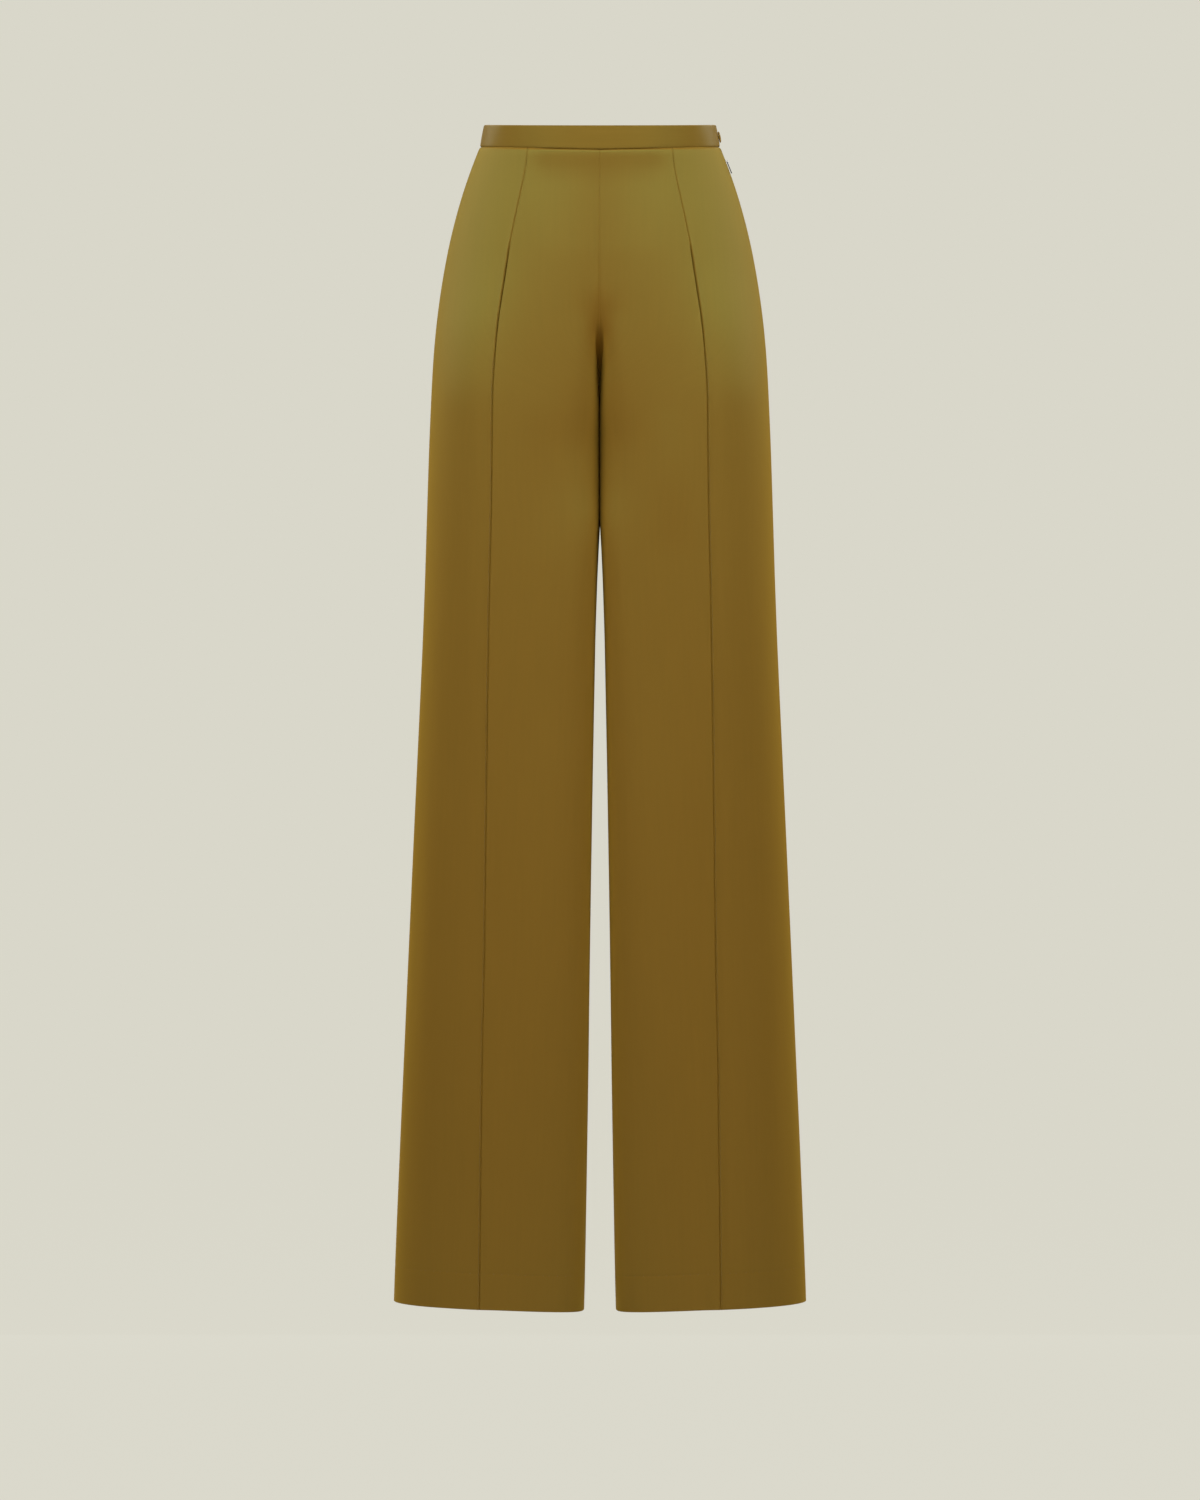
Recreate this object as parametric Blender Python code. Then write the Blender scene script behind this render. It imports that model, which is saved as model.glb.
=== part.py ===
"""Wide-leg satin trousers, worn shape, hollow: four panels, a waistband, a button and a side zip.

Lengths are millimetres until to_mesh() writes metres. +X is the wearer's left, -Y the front, +Z up.
drop is the distance below the waistband's top edge, measured at the side.
"""

import itertools
import math

import bmesh
import bpy
import numpy as np
from mathutils import Matrix, Vector

# Sizes that drive the model
TOP = 11.25  # z of the waistband's top edge at the side; the origin is at the band's middle
HEM_DROP = 1177.9
CROTCH_DROP = 272.0
BAND_HEIGHT = 21.4
BAND_FRONT_EXTRA = 1.9
BAND_WALL = 2.2
CLOTH = 1.2
HEM_CLOTH = 2.2
HEM_DEPTH = 35.5
SEAM_GAP = 0.3
FRONT_DIP = 8.65  # how far the waist sits lower at centre front than at the side
HEM_TILT = 3.35  # the hem is this much lower at the inseam, and higher at the side
HEM_FRONT_LIFT = 1.4
TUCK_START = 126.0
TUCK_HEIGHT = 1.1
TUCK_HALF_WIDTH = 1.2
DART_GROOVE = 0.4
BACK_DART_END = 150.0
PRESS_LIFT = 3.0  # the pressed front line stands out of the leg's round section
PRESS_REACH = 17.0
LEAN = 0.55  # the touching inner thighs lean on each other by this much
LEAN_DEPTH = 12.0
ZIP_END = 215.0
SLIDER_DROP = 36.9
ZIP_HALF_OPEN = 0.75
BUTTON_DROP = 12.2
BUTTON_RADIUS = 5.7
PULL_BAR_RADIUS = 0.3
LAP_GAP = 0.6  # between the lapped end of the band and the end under it
TANGENT_STEP = 0.8  # half of the length over which a level line's direction is measured

# (drop, distance from the centre line to the outer side)
SIDE = [
    (0.0, 116.0), (21.5, 120.2), (25.2, 121.5), (40.2, 127.6), (55.2, 132.9), (70.2, 137.8),
    (85.2, 142.2), (100.2, 146.2), (115.2, 149.8), (130.2, 153.0), (160.2, 158.3),
    (190.2, 162.6), (220.2, 165.7), (250.2, 167.6), (280.2, 169.0), (325.2, 170.9),
    (395.2, 173.1), (455.2, 174.9), (515.2, 177.1), (575.2, 179.8), (635.2, 182.6),
    (695.2, 185.4), (755.2, 188.1), (815.2, 190.8), (875.2, 193.5), (935.2, 196.1),
    (995.2, 198.8), (1055.2, 201.3), (1115.2, 203.8), (1155.2, 205.3), (1177.9, 206.1),
]
# (drop, half of the gap between the legs)
LEG_GAP = [
    (0.0, 0.15), (393.0, 0.15), (401.0, 0.5), (415.0, 1.2), (425.0, 1.75), (455.0, 2.9),
    (515.2, 4.6), (575.2, 5.75), (635.2, 6.9), (695.2, 7.93), (755.2, 8.93), (815.2, 9.83),
    (875.2, 10.65), (935.2, 11.4), (995.2, 12.3), (1055.2, 13.3), (1115.2, 14.35),
    (1155.2, 15.15), (1177.9, 15.8),
]
# (drop, distance of the front dart and stitched crease from the centre line)
FRONT_LINE = [
    (21.5, 71.8), (40.0, 73.0), (60.0, 77.0), (80.0, 81.3), (100.0, 85.3), (125.0, 90.2),
    (155.0, 94.2), (175.0, 97.2), (195.0, 100.1), (215.0, 102.1), (255.0, 105.0),
    (275.0, 106.0), (355.0, 106.6), (395.0, 107.2), (475.0, 109.1), (595.0, 111.0),
    (675.0, 112.0), (835.0, 114.0), (915.0, 115.9), (995.0, 117.0), (1075.0, 117.9),
    (1177.9, 119.0),
]
# (drop, distance of the back dart and fullest line of the back from the centre line)
BACK_LINE = [
    (0.0, 62.0), (60.0, 68.0), (150.0, 78.0), (272.0, 88.0), (600.0, 98.0), (1177.9, 112.0),
]
# (drop, depth of the body's front from the side line), and the back
FRONT_DEPTH = [
    (0.0, 89.0), (21.5, 91.0), (60.0, 95.0), (100.0, 98.5), (150.0, 101.5), (272.0, 103.0),
]
BACK_DEPTH = [
    (0.0, 86.0), (21.5, 88.5), (60.0, 96.5), (100.0, 106.0), (150.0, 116.0), (200.0, 120.5),
    (272.0, 120.5),
]
# (drop, depth of the leg's front crease from the side line), and the back
LEG_FRONT = [
    (0.0, 92.0), (150.0, 101.0), (230.0, 101.8), (393.0, 98.5), (600.0, 95.5), (800.0, 94.0),
    (1177.9, 93.0),
]
LEG_BACK = [
    (0.0, 92.0), (150.0, 115.0), (215.0, 120.5), (272.0, 120.0), (330.0, 117.5), (430.0, 112.5),
    (600.0, 105.0), (800.0, 99.0), (1177.9, 94.0),
]
# (drop, share of the leg's section, the rest is the body's)
LEG_SHARE = [(0.0, 0.0), (50.0, 0.0), (140.0, 0.3), (210.0, 0.75), (272.0, 1.0), (1177.9, 1.0)]
# (drop, where the side seam lies in front of the widest point)
SIDE_SEAM = [(0.0, -8.0), (250.0, -7.0), (1177.9, -4.0)]
# (drop, superellipse power of the leg's section from the inseam to the front crease), and the back
FRONT_INNER_POWER = [
    (0.0, 7.0), (230.0, 7.5), (270.0, 6.0), (300.0, 5.0), (340.0, 5.6), (400.0, 8.0),
    (600.0, 6.5), (1177.9, 5.0),
]
BACK_INNER_POWER = [(0.0, 4.0), (300.0, 4.2), (420.0, 4.0), (600.0, 3.6), (1177.9, 3.2)]
# drop where the front starts to fall back to the crotch and the power of its curve, and the back
FRONT_RISE = (130.0, 3.2)
BACK_RISE = (138.0, 2.4)
BODY_POWER = 2.18
OUTER_POWER = 2.2
QUARTERS = {
    "front": (FRONT_LINE, FRONT_DEPTH, LEG_FRONT, FRONT_INNER_POWER, FRONT_RISE),
    "back": (BACK_LINE, BACK_DEPTH, LEG_BACK, BACK_INNER_POWER, BACK_RISE),
}
ROWS = [
    21.55, 33.5, 41.0, 60.0, 82.0, 104.0, 126.0, 146.0, 166.0, 184.0, 202.0, 218.0, 231.0,
    242.0, 251.0, 259.0, 266.0, 272.0, 280.0, 294.0, 320.0, 355.0, 391.0, 403.0, 430.0,
    480.0, 560.0, 670.0, 790.0, 910.0, 1030.0, 1142.0, 1143.6, 1177.9,
]
FRONT_INNER_COLUMNS = 9
FRONT_OUTER_COLUMNS = 8
BACK_OUTER_COLUMNS = 8
BACK_INNER_COLUMNS = 8

# name: (colour, roughness, metallic)
SATIN = ((0.159, 0.091, 0.012, 1.0), 0.42, 0.0)
TAPE = ((0.12, 0.075, 0.015, 1.0), 0.8, 0.0)
SILVER = ((0.6, 0.6, 0.58, 1.0), 0.3, 1.0)
GUNMETAL = ((0.06, 0.06, 0.06, 1.0), 0.4, 1.0)


def smooth(table, at):
    """Monotone cubic curve through a table's rows, read at one drop."""
    xs, ys = np.array(table, float).T
    step = np.diff(xs)
    slope = np.diff(ys) / step
    tangent = np.zeros(len(xs))
    tangent[0], tangent[-1] = slope[0], slope[-1]
    for i in range(1, len(xs) - 1):
        if slope[i - 1] * slope[i] > 0:
            a = 2 * step[i] + step[i - 1]
            b = step[i] + 2 * step[i - 1]
            tangent[i] = (a + b) / (a / slope[i - 1] + b / slope[i])
    at = min(max(at, xs[0]), xs[-1])
    k = int(min(max(np.searchsorted(xs, at) - 1, 0), len(xs) - 2))
    t = (at - xs[k]) / step[k]
    start = (1 + 2 * t) * (1 - t) ** 2 * ys[k] + t * (1 - t) ** 2 * step[k] * tangent[k]
    end = t * t * (3 - 2 * t) * ys[k + 1] + t * t * (t - 1) * step[k] * tangent[k + 1]
    return float(start + end)


def ease(low, high, at):
    t = min(max((at - low) / (high - low), 0.0), 1.0)
    return t * t * (3 - 2 * t)


def height(x, y, drop):
    """z of a point of the cloth: the waist dips at the front and the hem tilts."""
    soft = 20.0
    dip = (math.hypot(y, soft) - y - soft) / (math.hypot(90, soft) + 90 - soft)
    extra = max(1 - abs(x) / 118, 0) ** 1.2
    z = TOP - drop
    z -= FRONT_DIP * dip * (1 - ease(22, 270, drop))
    z -= BAND_FRONT_EXTRA * extra * ease(0, 18, drop) * (1 - ease(24, 110, drop))
    tilt = HEM_TILT * (smooth(FRONT_LINE, drop) - abs(x)) / 94 + HEM_FRONT_LIFT * y / 96
    return z - tilt * ease(850, HEM_DROP, drop)


def along(points, start, end, count):
    """count + 1 points evenly spaced on a polyline between two of its lengths."""
    run = np.concatenate([[0], np.cumsum(np.hypot(*np.diff(points, axis=0).T))])
    at = np.linspace(start, end, count + 1)
    return np.column_stack([np.interp(at, run, points[:, 0]), np.interp(at, run, points[:, 1])])


def evenly(points, count=160):
    run = float(np.hypot(*np.diff(points, axis=0).T).sum())
    return along(points, 0, run, count)


def quarter(power, start, end, count=200):
    angle = np.linspace(start, end, count + 1)
    return np.cos(angle) ** (2 / power), np.sin(angle) ** (2 / power)


def section_half(drop, which):
    """The +X quarter of the section, from the centre to the line and from the line to the side."""
    *tables, (rise_start, rise_power) = QUARTERS[which]
    line, body, leg, power = (smooth(table, drop) for table in tables)
    side, gap, share = (smooth(table, drop) for table in (SIDE, LEG_GAP, LEG_SHARE))
    # the body: one superellipse round both legs
    turn = math.acos((line / side) ** (BODY_POWER / 2))
    cos, sin = quarter(BODY_POWER, math.pi / 2, turn)
    body_in = evenly(np.column_stack([side * cos, body * sin]))
    cos, sin = quarter(BODY_POWER, turn, 0)
    body_out = evenly(np.column_stack([side * cos, body * sin]))
    # the leg: its inner quarter falls back to the rise curve at the centre
    recess = min(max((drop - rise_start) / (CROTCH_DROP - rise_start), 0.0), 1.0) ** rise_power
    start = 1 - (1 - (1 - recess) ** power) ** (1 / power)
    cos, sin = quarter(power, math.acos((1 - start) ** (power / 2)), math.pi / 2)
    reach = np.sqrt(np.clip(((1 - cos) ** 2 - start**2) / max(1 - start**2, 1e-9), 0, 1))
    if recess <= 0:
        reach, sin = np.linspace(0, 1, 201), np.ones(201)
    leg_in = evenly(np.column_stack([line * reach, leg * sin]))
    cos, sin = quarter(OUTER_POWER, math.pi / 2, 0)
    leg_out = evenly(np.column_stack([line + (side - line) * cos, leg * sin]))
    inner = (1 - share) * body_in + share * leg_in
    outer = (1 - share) * body_out + share * leg_out
    inner[:, 0] = gap + inner[:, 0] * (line - gap) / line
    return inner, outer


def section(drop, columns):
    """The +X half of the section at a drop, from centre front round the side to centre back.

    Returns its points, and each point's distance along the section from the front line.
    """
    front_in, front_out = section_half(drop, "front")
    back_in, back_out = section_half(drop, "back")
    front_in[:, 1] *= -1
    front_out[:, 1] *= -1
    seam_at = smooth(SIDE_SEAM, drop)
    length = np.concatenate([[0], np.cumsum(np.hypot(*np.diff(front_out, axis=0).T))])
    seam = float(np.interp(seam_at, front_out[:, 1], length))
    whole_in = float(np.hypot(*np.diff(front_in, axis=0).T).sum())
    back_out_length = float(np.hypot(*np.diff(back_out, axis=0).T).sum())
    back_in_length = float(np.hypot(*np.diff(back_in, axis=0).T).sum())
    tuck = TUCK_HALF_WIDTH
    parts = [
        along(front_in, 0, whole_in - tuck, columns[0]),
        front_in[-1:],
        along(front_out, tuck, seam, columns[1]),
        along(front_out, length[-1], length[-1], 0),
        along(back_out[::-1], 0, back_out_length - tuck, columns[2])[1:],
        back_in[-1:],
        along(back_in[::-1], tuck, back_in_length, columns[3]),
    ]
    return np.concatenate(parts)


def half_grid(rows, columns):
    """Smooth grid of the +X half: points[row, column] and unit normals facing out."""
    points = np.zeros((len(rows), sum(columns) + 6, 3))
    for r, drop in enumerate(rows):
        flat = section(drop, columns)
        points[r, :, :2] = flat
        points[r, :, 2] = [height(x, y, drop) for x, y in flat]
    down = np.gradient(points, axis=0)
    down[1:-1] = (points[2:] - points[:-2]) / 2
    across = np.gradient(points, axis=1)
    for r, drop in enumerate(rows):
        if drop >= CROTCH_DROP:
            ring = (points[r, 1] - points[r, -2]) / 2
            across[r, 0] = ring
            across[r, -1] = ring
    normals = np.cross(down, across)
    normals /= np.linalg.norm(normals, axis=2, keepdims=True)
    crotch = [r for r, drop in enumerate(rows) if abs(drop - CROTCH_DROP) < 0.1]
    for r in crotch:
        for c in (0, -1):
            normals[r, c] = np.array([-0.5, 0.0, -0.85]) / math.hypot(0.5, 0.85)
    for r, drop in enumerate(rows):
        if drop > CROTCH_DROP + 0.1:
            for c in (0, -1):
                normals[r, c, 1] = 0
                normals[r, c] /= np.linalg.norm(normals[r, c])
        if drop < FRONT_RISE[0]:
            normals[r, 0, 0] = 0
            normals[r, 0] /= np.linalg.norm(normals[r, 0])
        if drop < BACK_RISE[0]:
            normals[r, -1, 0] = 0
            normals[r, -1] /= np.linalg.norm(normals[r, -1])
    return points, normals


def lean(points, side):
    """The inner thighs touch on a face turned a little, so no daylight shows between them."""
    moved = points.copy()
    moved[:, 0] *= side
    drop = TOP - points[:, 2]
    for i, (x, y, _) in enumerate(points):
        amount = ease(255, 290, drop[i]) * (1 - ease(393, 520, drop[i]))
        near = max(1 - abs(x) / 60, 0) ** 2
        moved[i, 0] += LEAN * math.tanh(y / LEAN_DEPTH) * amount * near
    return moved


def to_mesh(name, points, faces, look):
    mesh = bpy.data.meshes.new(name)
    mesh.from_pydata([tuple(0.001 * np.asarray(p)) for p in points], [], [tuple(f) for f in faces])
    mesh.update()
    made = bpy.data.objects.new(name, mesh)
    bpy.context.scene.collection.objects.link(made)
    colour, roughness, metallic = look
    material = bpy.data.materials.new(name)
    material.use_nodes = True
    shader = material.node_tree.nodes["Principled BSDF"]
    shader.inputs["Base Color"].default_value = colour
    shader.inputs["Roughness"].default_value = roughness
    shader.inputs["Metallic"].default_value = metallic
    material.diffuse_color = colour
    mesh.materials.append(material)
    for face in mesh.polygons:
        face.use_smooth = True
    return made


def wall(outer, inner, flip):
    """Points and faces of a closed wall between two grids of the same shape."""
    rows, columns = outer.shape[:2]
    points = np.concatenate([outer.reshape(-1, 3), inner.reshape(-1, 3)])
    far = rows * columns
    faces = []
    for r in range(rows - 1):
        for c in range(columns - 1):
            a, b = r * columns + c, r * columns + c + 1
            d, e = a + columns, b + columns
            faces.append((a, d, e, b))
            faces.append((far + a, far + b, far + e, far + d))
    edge = [(0, c) for c in range(columns)] + [(r, columns - 1) for r in range(1, rows)]
    edge += [(rows - 1, c) for c in range(columns - 2, -1, -1)]
    edge += [(r, 0) for r in range(rows - 2, 0, -1)]
    for (r0, c0), (r1, c1) in zip(edge, edge[1:] + edge[:1]):
        a, b = r0 * columns + c0, r1 * columns + c1
        faces.append((a, b, far + b, far + a))
    if flip:
        faces = [face[::-1] for face in faces]
    return points, faces


def panels():
    columns = (FRONT_INNER_COLUMNS, FRONT_OUTER_COLUMNS, BACK_OUTER_COLUMNS, BACK_INNER_COLUMNS)
    points, normals = half_grid(ROWS, columns)
    tuck = columns[0] + 1
    seam = tuck + 1 + columns[1]
    back_line = seam + 1 + columns[2] + 1
    across = np.gradient(points, axis=1)
    across /= np.linalg.norm(across, axis=2, keepdims=True)
    out = np.zeros(points.shape[:2])
    raise_only = np.zeros(points.shape[:2])
    for r, drop in enumerate(ROWS):
        gaps = np.linalg.norm(np.diff(points[r], axis=0), axis=1)
        run = np.concatenate([[0], np.cumsum(gaps)])
        away = np.abs(run - run[tuck])
        press = PRESS_LIFT * ease(140, 520, drop)
        out[r, : seam + 1] += press * np.exp(-away[: seam + 1] / PRESS_REACH)
        tucked = ease(TUCK_START - 12, TUCK_START + 8, drop)
        raise_only[r, tuck] += TUCK_HEIGHT * tucked - DART_GROOVE * (1 - tucked)
        raise_only[r, back_line] -= DART_GROOVE * (1 - ease(BACK_DART_END - 25, BACK_DART_END, drop))
    for side, word in ((1, "left"), (-1, "right")):
        for name, first, last in (("front", 0, seam), ("back", seam, points.shape[1] - 1)):
            base = points[:, first : last + 1].copy()
            normal = normals[:, first : last + 1]
            lift = out[:, first : last + 1]
            ridge = raise_only[:, first : last + 1]
            thick = np.array([HEM_CLOTH if drop > HEM_DROP - HEM_DEPTH else CLOTH for drop in ROWS])
            for r, drop in enumerate(ROWS):
                half = SEAM_GAP / 2
                if side > 0:
                    half += (ZIP_HALF_OPEN - half) * (1 if 30 < drop < 45 else 0)
                if name == "front":
                    base[r, -1] -= across[r, seam] * half
                else:
                    base[r, 0] += across[r, seam] * half
                if drop >= CROTCH_DROP:
                    c = 0 if name == "front" else -1
                    base[r, c, 1] = -SEAM_GAP / 2 if name == "front" else SEAM_GAP / 2
            outer = base + normal * (lift + ridge)[..., None]
            inner = base + normal * (lift - thick[:, None])[..., None]
            inner[..., 0] = np.maximum(inner[..., 0], SEAM_GAP / 2)
            outer[..., 0] = np.maximum(outer[..., 0], SEAM_GAP / 2)
            corners, faces = wall(outer, inner, side < 0)
            to_mesh(f"{name}_{word}", lean(corners, side), faces, SATIN)


def band_ring(drop, count=720):
    """Closed outline of the waistband at a drop, from the +X side round the front."""
    side = smooth(SIDE, drop)
    cos, sin = quarter(BODY_POWER, 0, math.pi / 2, count // 4)
    front, back = smooth(FRONT_DEPTH, drop), smooth(BACK_DEPTH, drop)
    a = np.column_stack([side * cos, -front * sin])[:-1]
    b = np.column_stack([-side * cos[::-1], -front * sin[::-1]])[:-1]
    c = np.column_stack([-side * cos, back * sin])[:-1]
    d = np.column_stack([side * cos[::-1], back * sin[::-1]])
    return np.concatenate([a, b, c, d])


class Ring:
    """The waistband's outline by length from the +X side, positive towards the back."""

    def __init__(self, drop):
        self.drop = drop
        self.points = band_ring(drop)
        self.run = np.concatenate([[0], np.cumsum(np.hypot(*np.diff(self.points, axis=0).T))])
        self.length = self.run[-1]

    def at(self, share, out=0.0):
        """Point at a share of the whole length, moved out along the level normal."""
        s = (share % 1.0) * self.length
        ahead, behind = self.on_line(s + TANGENT_STEP), self.on_line(s - TANGENT_STEP)
        tx, ty = ahead - behind
        normal = np.array([ty, -tx]) / math.hypot(tx, ty)
        here = self.on_line(s)
        return here + normal * (-out if normal.dot(here) < 0 else out)

    def on_line(self, s):
        s = s % self.length
        return np.array([np.interp(s, self.run, self.points[:, i]) for i in (0, 1)])


def waistband():
    lap_end, shift_start, shift_end, underlap_end = 9.0, 10.0, 26.0, 17.0
    middle = Ring(BAND_HEIGHT / 2)
    whole = middle.length
    # lengths run from the lapped end (behind the side, so negative) round the front and the back
    lengths = list(np.linspace(-lap_end, 0, 3))
    lengths += list(np.linspace(0, whole - shift_end, 66)[1:])
    lengths += list(np.linspace(whole - shift_end, whole - shift_start, 5)[1:])
    lengths += list(np.linspace(whole - shift_start, whole + underlap_end, 6)[1:])
    bottom = BAND_HEIGHT + 0.15 - SEAM_GAP
    profile = [
        (-1.1, 0.0), (-0.32, 0.32), (0.0, 1.1), (0.0, bottom), (-BAND_WALL, bottom),
        (-BAND_WALL, 1.1), (-1.88, 0.32),
    ]
    rings = {drop: Ring(drop) for _, drop in profile}
    points = []
    for length in lengths:
        inwards = (BAND_WALL + LAP_GAP) * ease(whole - shift_end, whole - shift_start, length)
        for out, drop in profile:
            x, y = rings[drop].at(length / whole, out - inwards)
            points.append((x, y, height(x, y, drop)))
    n = len(profile)
    faces = []
    for i in range(len(lengths) - 1):
        for j in range(n):
            k = (j + 1) % n
            faces.append((i * n + j, i * n + k, (i + 1) * n + k, (i + 1) * n + j))
    faces.append(tuple(range(n))[::-1])
    last = (len(lengths) - 1) * n
    faces.append(tuple(last + j for j in range(n)))
    return to_mesh("waistband", points, faces, SATIN)


def local_frame(point, out, down):
    """Matrix (millimetres) with u out of the cloth, v down it and w across, as x, y and z."""
    u = Vector(out).normalized()
    v = Vector(down)
    v = (v - u * v.dot(u)).normalized()
    w = u.cross(v)
    axes = Matrix((u, v, w)).transposed().to_4x4()
    return Matrix.Translation(point) @ axes


def place(points, frame):
    return [tuple(frame @ Vector(p)) for p in points]


def box(name, low, high, frame, look):
    points = list(itertools.product(*zip(low, high)))
    faces = [(0, 1, 3, 2), (4, 6, 7, 5), (0, 4, 5, 1), (2, 3, 7, 6), (0, 2, 6, 4), (1, 5, 7, 3)]
    return to_mesh(name, place(points, frame), faces, look)


def prism(name, outline, low, high, frame, look, axes=(1, 2, 0)):
    """An outline in two local axes, extruded between two values of the third."""
    count = len(outline)
    points = []
    for level in (low, high):
        for a, b in outline:
            point = [0.0, 0.0, 0.0]
            point[axes[0]], point[axes[1]], point[axes[2]] = a, b, level
            points.append(point)
    faces = [(i, (i + 1) % count, count + (i + 1) % count, count + i) for i in range(count)]
    faces += [tuple(range(count))[::-1], tuple(range(count, 2 * count))]
    made = to_mesh(name, place(points, frame), faces, look)
    outwards(made)
    return made


def outwards(made):
    shape = bmesh.new()
    shape.from_mesh(made.data)
    bmesh.ops.recalc_face_normals(shape, faces=shape.faces)
    shape.to_mesh(made.data)
    shape.free()


def turned(name, profile, frame, look, steps=24):
    """A (u, radius) profile turned about the local u axis; its ends are on the axis."""
    points = [(profile[0][0], 0, 0)]
    for u, radius in profile[1:-1]:
        for k in range(steps):
            angle = 2 * math.pi * k / steps
            points.append((u, radius * math.cos(angle), radius * math.sin(angle)))
    points.append((profile[-1][0], 0, 0))
    rings = len(profile) - 2
    faces = []
    for k in range(steps):
        after = (k + 1) % steps
        faces.append((0, 1 + after, 1 + k))
        for r in range(rings - 1):
            a, b = 1 + r * steps, 1 + (r + 1) * steps
            faces.append((a + k, a + after, b + after, b + k))
        faces.append((1 + (rings - 1) * steps + k, 1 + (rings - 1) * steps + after, len(points) - 1))
    made = to_mesh(name, place(points, frame), faces, look)
    outwards(made)
    return made


def combine(target, helper, operation):
    helper.hide_render = True
    helper.display_type = "WIRE"
    modifier = target.modifiers.new(helper.name, "BOOLEAN")
    modifier.operation = operation
    modifier.solver = "EXACT"
    modifier.object = helper


def button(band):
    ring = Ring(BUTTON_DROP)
    share = 4.0 / ring.length
    x, y = ring.at(share)
    point = (x, y, height(x, y, BUTTON_DROP))
    above = Ring(BUTTON_DROP - 4).at(share)
    below = Ring(BUTTON_DROP + 4).at(share)
    down = (below[0] - above[0], below[1] - above[1], -8.0)
    outside = ring.at(share, 1.0) - ring.at(share)
    frame = local_frame(point, (outside[0], outside[1], 0.2 * math.hypot(*outside)), down)
    profile = [(-BAND_WALL - 0.2, 0), (-BAND_WALL - 0.2, 1.1), (0.35, 1.1), (0.35, 5.0), (0.6, 5.55)]
    profile += [(1.0, BUTTON_RADIUS), (1.5, 5.4), (2.0, 4.3), (2.35, 2.4), (2.45, 0)]
    turned("button", profile, frame, SATIN)
    hole = box("button_hole", (-BAND_WALL - 0.3, -1.5, -2.1), (1.0, 1.5, 2.1), frame, SATIN)
    outwards(hole)
    combine(band, hole, "DIFFERENCE")


def seam_point(drop, across=0.0):
    """Outer surface point at a length across from the +X side seam, and its level outward normal."""
    front_in, front_out = section_half(drop, "front")
    back_in, back_out = section_half(drop, "back")
    front_out[:, 1] *= -1
    outline = np.concatenate([front_out, back_out[::-1][1:]])
    run = np.concatenate([[0], np.cumsum(np.hypot(*np.diff(outline, axis=0).T))])
    here = float(np.interp(smooth(SIDE_SEAM, drop), outline[:, 1], run)) + across

    def at(s):
        return np.array([np.interp(s, run, outline[:, 0]), np.interp(s, run, outline[:, 1])])

    tangent = at(here + 1) - at(here - 1)
    normal = np.array([tangent[1], -tangent[0]]) / np.linalg.norm(tangent)
    return at(here), normal


def slope_frame(drop):
    point, normal = seam_point(drop)
    above, _ = seam_point(drop - 4)
    below, _ = seam_point(drop + 4)
    down = Vector((below[0] - above[0], below[1] - above[1], -8.0)).normalized()
    across = Vector((-normal[1], normal[0], 0))
    out = across.cross(down)
    if out.dot(Vector((*normal, 0))) < 0:
        out = -out
    return local_frame((*point, height(*point, drop)), out, down)


def zip_tape():
    """Two tapes and their coil as one strip behind the side seam; it steps in behind the slider."""
    rows = [26.0, 34.0, 41.0, 47.0, 56.0, 75.0, 95.0, 115.0, 135.0, 155.0, 175.0, 195.0, ZIP_END]
    places = [-10.0, -6.0, -1.7, -1.2, 1.2, 1.7, 6.0, 10.0]
    depth = [0.6, 0.6, 0.6, 1.6, 1.6, 0.6, 0.6, 0.6]
    outer = np.zeros((len(rows), len(places), 3))
    inner = outer.copy()
    for r, drop in enumerate(rows):
        set_in = CLOTH + 0.45 + 2.9 * (1 - ease(43, 56, drop))
        for c, across in enumerate(places):
            point, normal = seam_point(drop, across)
            for grid, inwards in ((outer, set_in), (inner, set_in + depth[c])):
                x, y = point - normal * inwards
                grid[r, c] = (x, y, height(*point, drop))
    points, faces = wall(outer, inner, False)
    to_mesh("zip_tape", points, faces, TAPE)


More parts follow.
